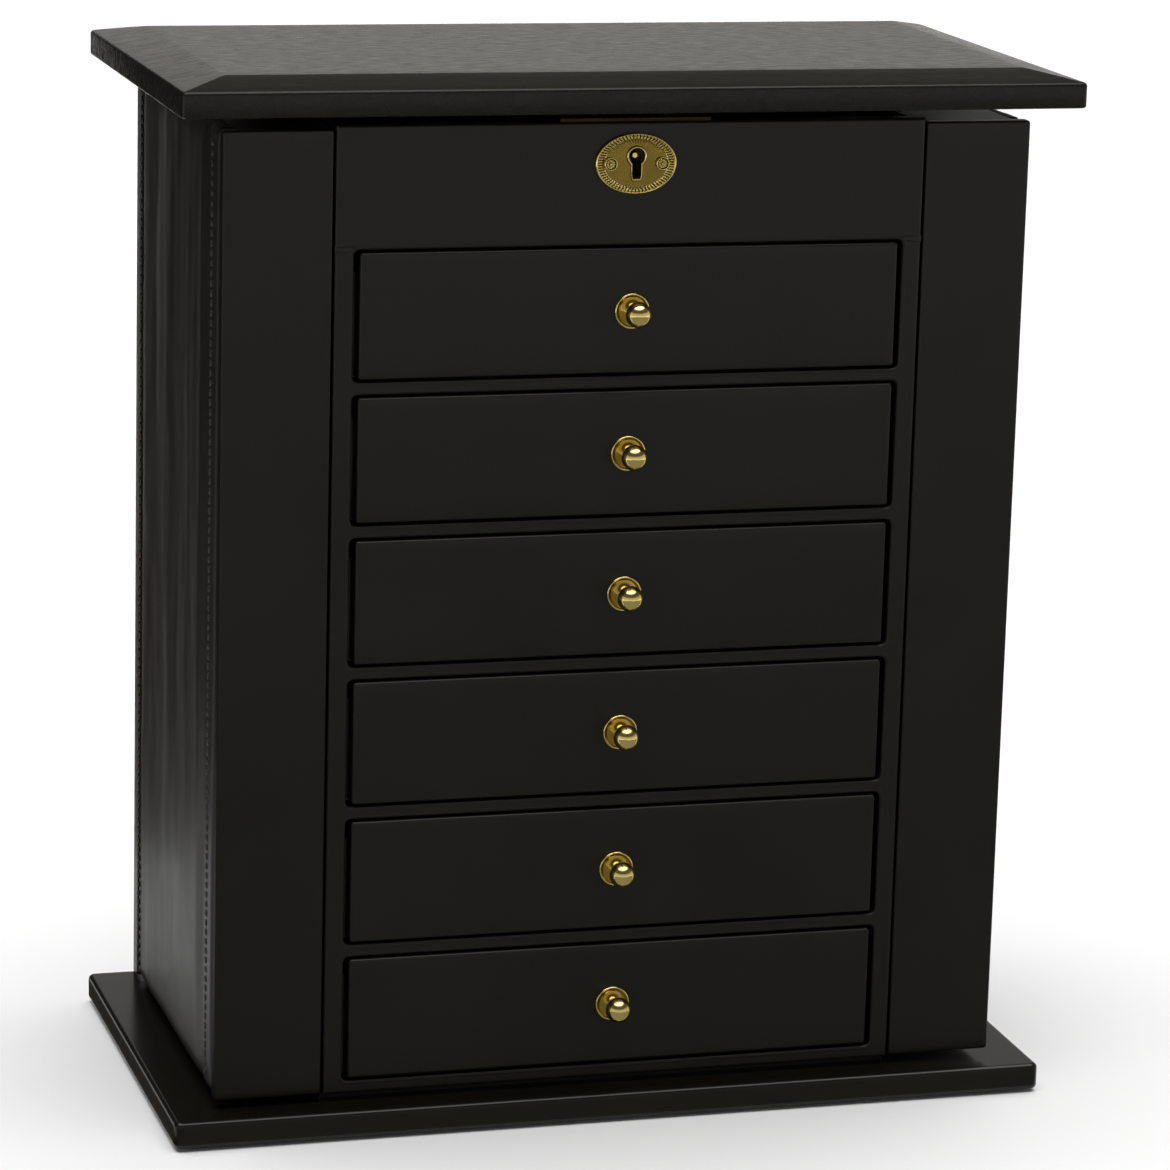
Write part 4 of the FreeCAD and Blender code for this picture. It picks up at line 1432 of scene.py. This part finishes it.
    def stitching(self) -> bpy.types.Object:
        """Both rows of stitches: along the front seam and over the back edge.

        Returns:
            The new object.
        """
        low, high = node_box("door_side_" + self.side.word)
        sign = self.side.value
        count = int((high.z - low.z - 2 * self.stitch_pitch) / self.stitch_pitch)
        x_seam = self.outer_x() - self.seam_sink
        work = bmesh.new()
        for k in range(count):
            z = low.z + self.stitch_pitch * (k + 1.5)
            for y, lift, tilt in ((low.y + self.stitch_line, self.welt_height * self.seam_sink, 0.35),
                                  (high.y - self.back_stitch_line, self.back_stitch_lift, 0.6)):
                place = Matrix.Translation((sign * (x_seam + lift), y, z)) @ Matrix.Rotation(tilt, 4, "X")
                shape = Matrix.Diagonal((self.stitch_proud, self.stitch_width, self.stitch_length / 2, 1.0))
                bmesh.ops.create_icosphere(work, subdivisions=2, radius=1.0, matrix=place @ shape)
        return shown("side_stitching_" + self.side.word, work)

    def pocket_path(self) -> list[tuple[float, float, float, float]]:
        """The pocket's wall in plan, from the door's back edge to its front edge.

        Returns:
            Distance in from the door's leather, depth, and the wall's inward and sideways share of direction.
        """
        low, high = node_box("door_pocket_" + self.side.word)
        reach = high.x - low.x - self.pocket_gather - self.pocket_belly
        corner = self.pocket_corner
        y0, y1 = low.y + self.pocket_gather, high.y - self.pocket_gather
        path = [(0.0, y0, 0.0, -1.0), ((reach - corner) / 2, y0, 0.0, -1.0)]
        for k in range(self.pocket_corner_points):
            turn = math.pi / 2 * k / (self.pocket_corner_points - 1)
            path.append((reach - corner + corner * math.sin(turn), y0 + corner - corner * math.cos(turn),
                         math.sin(turn), -math.cos(turn)))
        near = list(path)
        steps = int((y1 - y0 - 2 * corner) / (self.pocket_pitch / self.pocket_columns))
        for k in range(1, steps):
            path.append((reach, y0 + corner + (y1 - y0 - 2 * corner) * k / steps, 1.0, 0.0))
        path += [(far, y0 + y1 - y, inward, -along) for far, y, inward, along in reversed(near)]
        return path

    def pocket(self) -> bpy.types.Object:
        """The gathered velvet pocket, open at its top, with a plump elastic hem.

        Returns:
            The new object.
        """
        low, high = node_box("door_pocket_" + self.side.word)
        sign = self.side.value
        back = max(abs(low.x), abs(high.x))
        path = self.pocket_path()
        levels = self.pocket_levels
        verts: list[Vector] = []
        for skin in (0, 1):
            foot = low.z + skin * self.pocket_wall
            for r in range(levels + 1):
                z = foot + (high.z - foot) * r / levels
                share = (z - low.z) / (high.z - low.z)
                fall = (high.z - z) / self.pocket_hem
                hem = math.sin(math.pi * min(fall, 1.0)) * self.pocket_gather
                round_top = self.pocket_wall / 2 * (1 - smoothstep(0.0, 0.25, fall))
                for far, y, inward, along in path:
                    drift = noise.noise(Vector((y / 0.012, z / 0.05, 5.0 * sign)))
                    wave = math.sin(2 * math.pi * y / self.pocket_pitch + 1.8 * drift)
                    fold = self.pocket_gather * wave * (0.25 + 0.75 * smoothstep(0.15, 0.95, share))
                    belly = self.pocket_belly * math.sin(math.pi * min(share * 0.9, 1.0))
                    lift = inward * (fold * min(fall, 1.0) + belly)
                    if skin:
                        lift += -self.pocket_wall - hem * 0.4 + round_top
                    else:
                        lift += hem * 0.6 - round_top
                    away = max(far + inward * lift, 0.0)
                    verts.append(Vector((sign * (back - away), y + along * lift, z)))
        columns = len(path)
        rows = levels + 1
        inner = rows * columns
        faces = grid_faces(rows, columns) + grid_faces(rows, columns, inner)
        top = levels * columns
        for c in range(columns - 1):
            faces.append((top + c, top + c + 1, inner + top + c + 1, inner + top + c))
        for c in (0, columns - 1):
            for r in range(levels):
                a, b = r * columns + c, (r + 1) * columns + c
                faces.append((a, b, inner + b, inner + a))
        faces += [tuple(range(columns)), tuple(range(inner, inner + columns)),
                  (0, columns - 1, inner + columns - 1, inner)]
        return mesh_piece("door_pocket_velvet_" + self.side.word, verts, faces)

    def inner_lining(self) -> bpy.types.Object:
        """The velvet panel on the inner face, between the pocket and the hook rail.

        Returns:
            The new object.
        """
        low, high = node_box("door_side_" + self.side.word)
        pocket = node_box("door_pocket_" + self.side.word)
        rail = node_box("door_hooks_" + self.side.word)
        inner = min(abs(low.x), abs(high.x))
        gap = self.lining_gap
        y0, y1 = low.y + self.lining_set_back, high.y - gap
        z0, z1 = pocket[1].z + gap, rail[0].z - gap
        flat = pillow_pad("door_lining_" + self.side.word, Vector((-(z1 - z0) / 2, -(y1 - y0) / 2, 0)),
                          Vector(((z1 - z0) / 2, (y1 - y0) / 2, self.lining_thick)),
                          1.5 * MM, 0.9 * MM, 0.2 * MM)
        turn = Matrix.Rotation(-self.side.value * math.pi / 2, 4, "Y")
        flat.data.transform(turn)
        flat.data.transform(Matrix.Translation((self.side.value * inner, (y0 + y1) / 2, (z0 + z1) / 2)))
        return flat


@dataclass
class Drawer:
    """One drawer: wrapped front, flocked box, velvet pad and turned brass knob."""

    number: int
    finishes: Finishes
    wall: float = 3.0 * MM
    floor: float = 2.5 * MM
    pad: float = 1.6 * MM
    pad_gap: float = 0.4 * MM
    pad_corner: float = 2.0 * MM
    pad_edge: float = 0.8 * MM
    pad_crown: float = 0.25 * MM
    pad_fill: float = 0.7
    front_grow: float = 0.2 * MM
    front_rise: float = 0.45 * MM
    front_edge: float = 0.9 * MM
    front_crown: float = 0.12 * MM
    front_corner: float = 0.9 * MM
    rose: float = 5.8 * MM
    ball: float = 4.25 * MM
    neck: float = 1.9 * MM
    rose_lip: float = 0.38 * MM
    cove_rise: float = 2.0 * MM
    bead: tuple[tuple[float, float], ...] = (   # share of the neck's radius, distance before the ball
        (0.98, 1.0 * MM), (1.35, 0.75 * MM), (1.45, 0.45 * MM), (1.25, 0.1 * MM))
    ball_rings: int = 16
    tip: float = 0.02 * MM          # the flat at the ball's end
    turns: int = 56

    def build(self) -> None:
        """Dresses the drawer's nodes and makes its pad."""
        f = self.finishes
        n = str(self.number)
        low, high = node_box("drawer_front_" + n)
        front = wrapped_board("drawer_wrapped_front_" + n, low - Vector((0.0, 0.0, self.front_grow)),
                              high + Vector((0.0, 0.0, self.front_rise)), self.front_edge,
                              self.front_crown, self.front_corner)
        seat(front, "drawer_" + n, f.board, stands_for="drawer_front_" + n)
        dress_nodes(("drawer_box_" + n,), f.velvet)
        knob = seat(self.knob(), "drawer_" + n, f.brass, stands_for="drawer_knob_" + n)
        # The hollow of the rose gets the darker brass, painted shade.
        second_finish(knob, f.cove_painted_shade_brass, self.in_cove)
        low, high = node_box("drawer_box_" + n)
        inset = self.wall + self.pad_gap
        pad = pillow_pad("drawer_pad_" + n, Vector((low.x + inset, low.y + inset, low.z + self.floor)),
                         Vector((high.x - inset, high.y - inset, low.z + self.floor + self.pad)),
                         self.pad_corner, self.pad_edge, self.pad_crown)
        seat(pad, "drawer_" + n, f.velvet)

    def in_cove(self, face: bpy.types.MeshPolygon) -> bool:
        """Whether a face of the knob lies in the hollow of its rose, where darker brass paints the shade.

        Args:
            face: a face of the knob.

        Returns:
            True inside the hollow.
        """
        low, high = node_box("drawer_knob_" + str(self.number))
        axis = (low + high) / 2
        radius = math.hypot(face.center.x - axis.x, face.center.z - axis.z)
        return self.neck * 1.05 < radius < self.rose * 0.88 and face.center.y > low.y + 2 * self.ball

    def knob_profile(self, reach: float) -> list[tuple[float, float]]:
        """Radius against distance from the drawer's face, from the rose's edge to the ball's tip.

        Args:
            reach: how far the ball's tip stands from the face.

        Returns:
            Pairs of radius and distance, in metres.
        """
        rose, neck, ball = self.rose, self.neck, self.ball
        lip = self.rose_lip
        points = [(rose, 0.0)]
        for turn in (math.pi * k / 5 for k in range(6)):
            points.append((rose - lip + lip * math.cos(turn), lip * (1.0 + 0.9 * math.sin(turn))))
        cove = rose - 2 * lip - neck
        for turn in (math.pi / 2 * k / 8 for k in range(1, 9)):
            points.append((neck + cove * (1 - math.sin(turn)), lip + self.cove_rise * (1 - math.cos(turn))))
        centre = reach - ball
        start = math.acos(min((neck * self.bead[-1][0]) / ball, 1.0))
        collar = centre - ball * math.sin(start)
        points += [(neck * share, collar - before) for share, before in self.bead]
        for k in range(self.ball_rings + 1):
            turn = -start + (math.pi / 2 + start) * k / self.ball_rings
            points.append((max(ball * math.cos(turn), self.tip), centre + ball * math.sin(turn)))
        return points

    def knob(self) -> bpy.types.Object:
        """The turned knob: a dished rose with a rolled rim, a waisted neck, a bead and a ball.

        Returns:
            The new object.
        """
        low, high = node_box("drawer_knob_" + str(self.number))
        face = node_box("drawer_front_" + str(self.number))[0].y
        x, z = (low.x + high.x) / 2, (low.z + high.z) / 2
        rings = [circle(Vector((x, face - out, z)), Vector((radius, 0, 0)), Vector((0, 0, radius)),
                        self.turns) for radius, out in self.knob_profile(face - low.y)]
        return loft("knob_" + str(self.number), rings)


# ---- studio ----------------------------------------------------------------------------------

@dataclass
class Studio:
    """A pale floor, soft light from overhead, dim cards beside the chest and the camera."""

    floor_size: float = 40.0
    card_lift: float = 0.002
    sky_tone: str = "fffbf5"
    lens_mm: float = 147.2
    sensor_mm: float = 36.0
    azimuth_deg: float = 16.21
    elevation_deg: float = 13.34
    roll_deg: float = 1.55
    stand: Vector = field(default_factory=lambda: Vector((-0.4346, -1.4502, 0.5293)))
    cards: tuple[tuple, ...] = (    # name, corner on the floor, both edges, tone and glow
        ("front_card", (-1.1, -2.2), (2.4, 0, 0), (0, 2.117, 0), "fffff0", 0.28),
        ("left_card", (-1.755, 0.24), (1.6, 0, 0), (0, 0, 0.62), "fff4e6", 0.025),
        # The contact card paints the shadow on the floor beside the base, seen only in reflections.
        ("contact_shadow_card", (-0.158, -0.13), (0.0087, 0, 0), (0, 0.33, 0), "fff4e6", 0.04))
    sky: tuple[tuple[float, float], ...] = ((0.0, 0.66), (0.28, 0.54), (0.42, 0.10), (0.78, 0.12),
                                            (0.88, 3.6), (1.0, 4.2))

    def build(self) -> None:
        """Makes the floor, the light and the camera."""
        bpy.context.scene.view_settings.view_transform = "Standard"
        self.floor()
        self.surround()
        ground = CAD_BOUNDS[0].z + self.card_lift
        for name, corner, side, rise, tone, glow in self.cards:
            self.card(name, Vector((*corner, ground)), Vector(side), Vector(rise), tone, glow)
        self.camera()

    def floor(self) -> None:
        """A pale matt floor."""
        half = self.floor_size / 2
        ground = CAD_BOUNDS[0].z
        corners = [(-half, -half, ground), (half, -half, ground), (half, half, ground), (-half, half, ground)]
        plane = mesh_piece("studio_floor", corners, [(0, 1, 2, 3)], smooth=False)
        dress(plane, PaintedFloor("painted_studio_floor").build())

    def card(self, name: str, corner: Vector, side: Vector, rise: Vector, tone: str,
             glow: float) -> None:
        """A grey card that only tones reflections.

        Args:
            name: its name.
            corner: one of its corners, in metres.
            side: the edge from that corner to the next.
            rise: the other edge from that corner.
            tone: its colour.
            glow: its brightness.
        """
        corners = [corner, corner + side, corner + side + rise, corner + rise]
        plane = mesh_piece(name, corners, [(0, 1, 2, 3)], smooth=False)
        dress(plane, GreyCard("grey_card_" + name, tone, glow).build())
        plane.visible_camera = False
        plane.visible_diffuse = False
        plane.visible_shadow = False

    def sky_colour(self, value: float) -> tuple[float, float, float, float]:
        """The light's own warm tone at a brightness."""
        red, green, blue, _ = linear(self.sky_tone)
        return (red * value, green * value, blue * value, 1.0)

    def surround(self) -> None:
        """Light from all round: pale near the horizon, dim above it and bright overhead."""
        world = bpy.data.worlds.new("studio_surround")
        bpy.context.scene.world = world
        world.use_nodes = True
        tree = world.node_tree
        tree.nodes.clear()
        place = add_node(tree, "ShaderNodeTexCoord")
        split = add_node(tree, "ShaderNodeSeparateXYZ", {0: place.outputs["Generated"]})
        ramp = add_node(tree, "ShaderNodeValToRGB", {0: split.outputs["Z"]})
        peak = max(value for _, value in self.sky)
        stops = [(position, value / peak) for position, value in self.sky]
        for element, (position, value) in zip(ramp.color_ramp.elements, (stops[0], stops[-1])):
            element.position = position
            element.color = self.sky_colour(value)
        for position, value in stops[1:-1]:
            element = ramp.color_ramp.elements.new(position)
            element.color = self.sky_colour(value)
        background = add_node(tree, "ShaderNodeBackground", {"Color": ramp.outputs[0], "Strength": peak})
        add_node(tree, "ShaderNodeOutputWorld", {"Surface": background.outputs[0]})

    def camera(self) -> None:
        """The camera, standing at the front left and looking a little down."""
        data = bpy.data.cameras.new("studio_camera")
        data.sensor_width = self.sensor_mm
        data.lens = self.lens_mm
        camera = bpy.data.objects.new("studio_camera", data)
        bpy.context.scene.collection.objects.link(camera)
        base = Vector((0.0, node_box("face_frame")[0].y, node_box("base_board")[1].z))
        azimuth, elevation = math.radians(self.azimuth_deg), math.radians(self.elevation_deg)
        forward = Vector((math.sin(azimuth) * math.cos(elevation), math.cos(azimuth) * math.cos(elevation),
                          -math.sin(elevation)))
        level = Vector((math.cos(azimuth), -math.sin(azimuth), 0.0))
        upright = level.cross(forward)
        roll = math.radians(self.roll_deg)
        right = math.cos(roll) * level + math.sin(roll) * upright
        up = -math.sin(roll) * level + math.cos(roll) * upright
        turn = Matrix((right, up, -forward)).transposed().to_4x4()
        camera.matrix_world = Matrix.Translation(base + self.stand) @ turn
        bpy.context.scene.camera = camera


def main() -> None:
    """Builds the armoire, sub-assembly by sub-assembly, and its studio."""
    logging.basicConfig(level=logging.INFO, format="%(name)s: %(message)s")
    finishes = Finishes()
    Carcass(finishes).build()
    Lock(finishes).build()
    Lid(finishes).build()
    TopTray(finishes).build()
    for side in Side:
        SideDoor(side, finishes).build()
    for number in range(1, 7):
        Drawer(number, finishes).build()
    Studio().build()


if __name__ == "__main__":
    main()
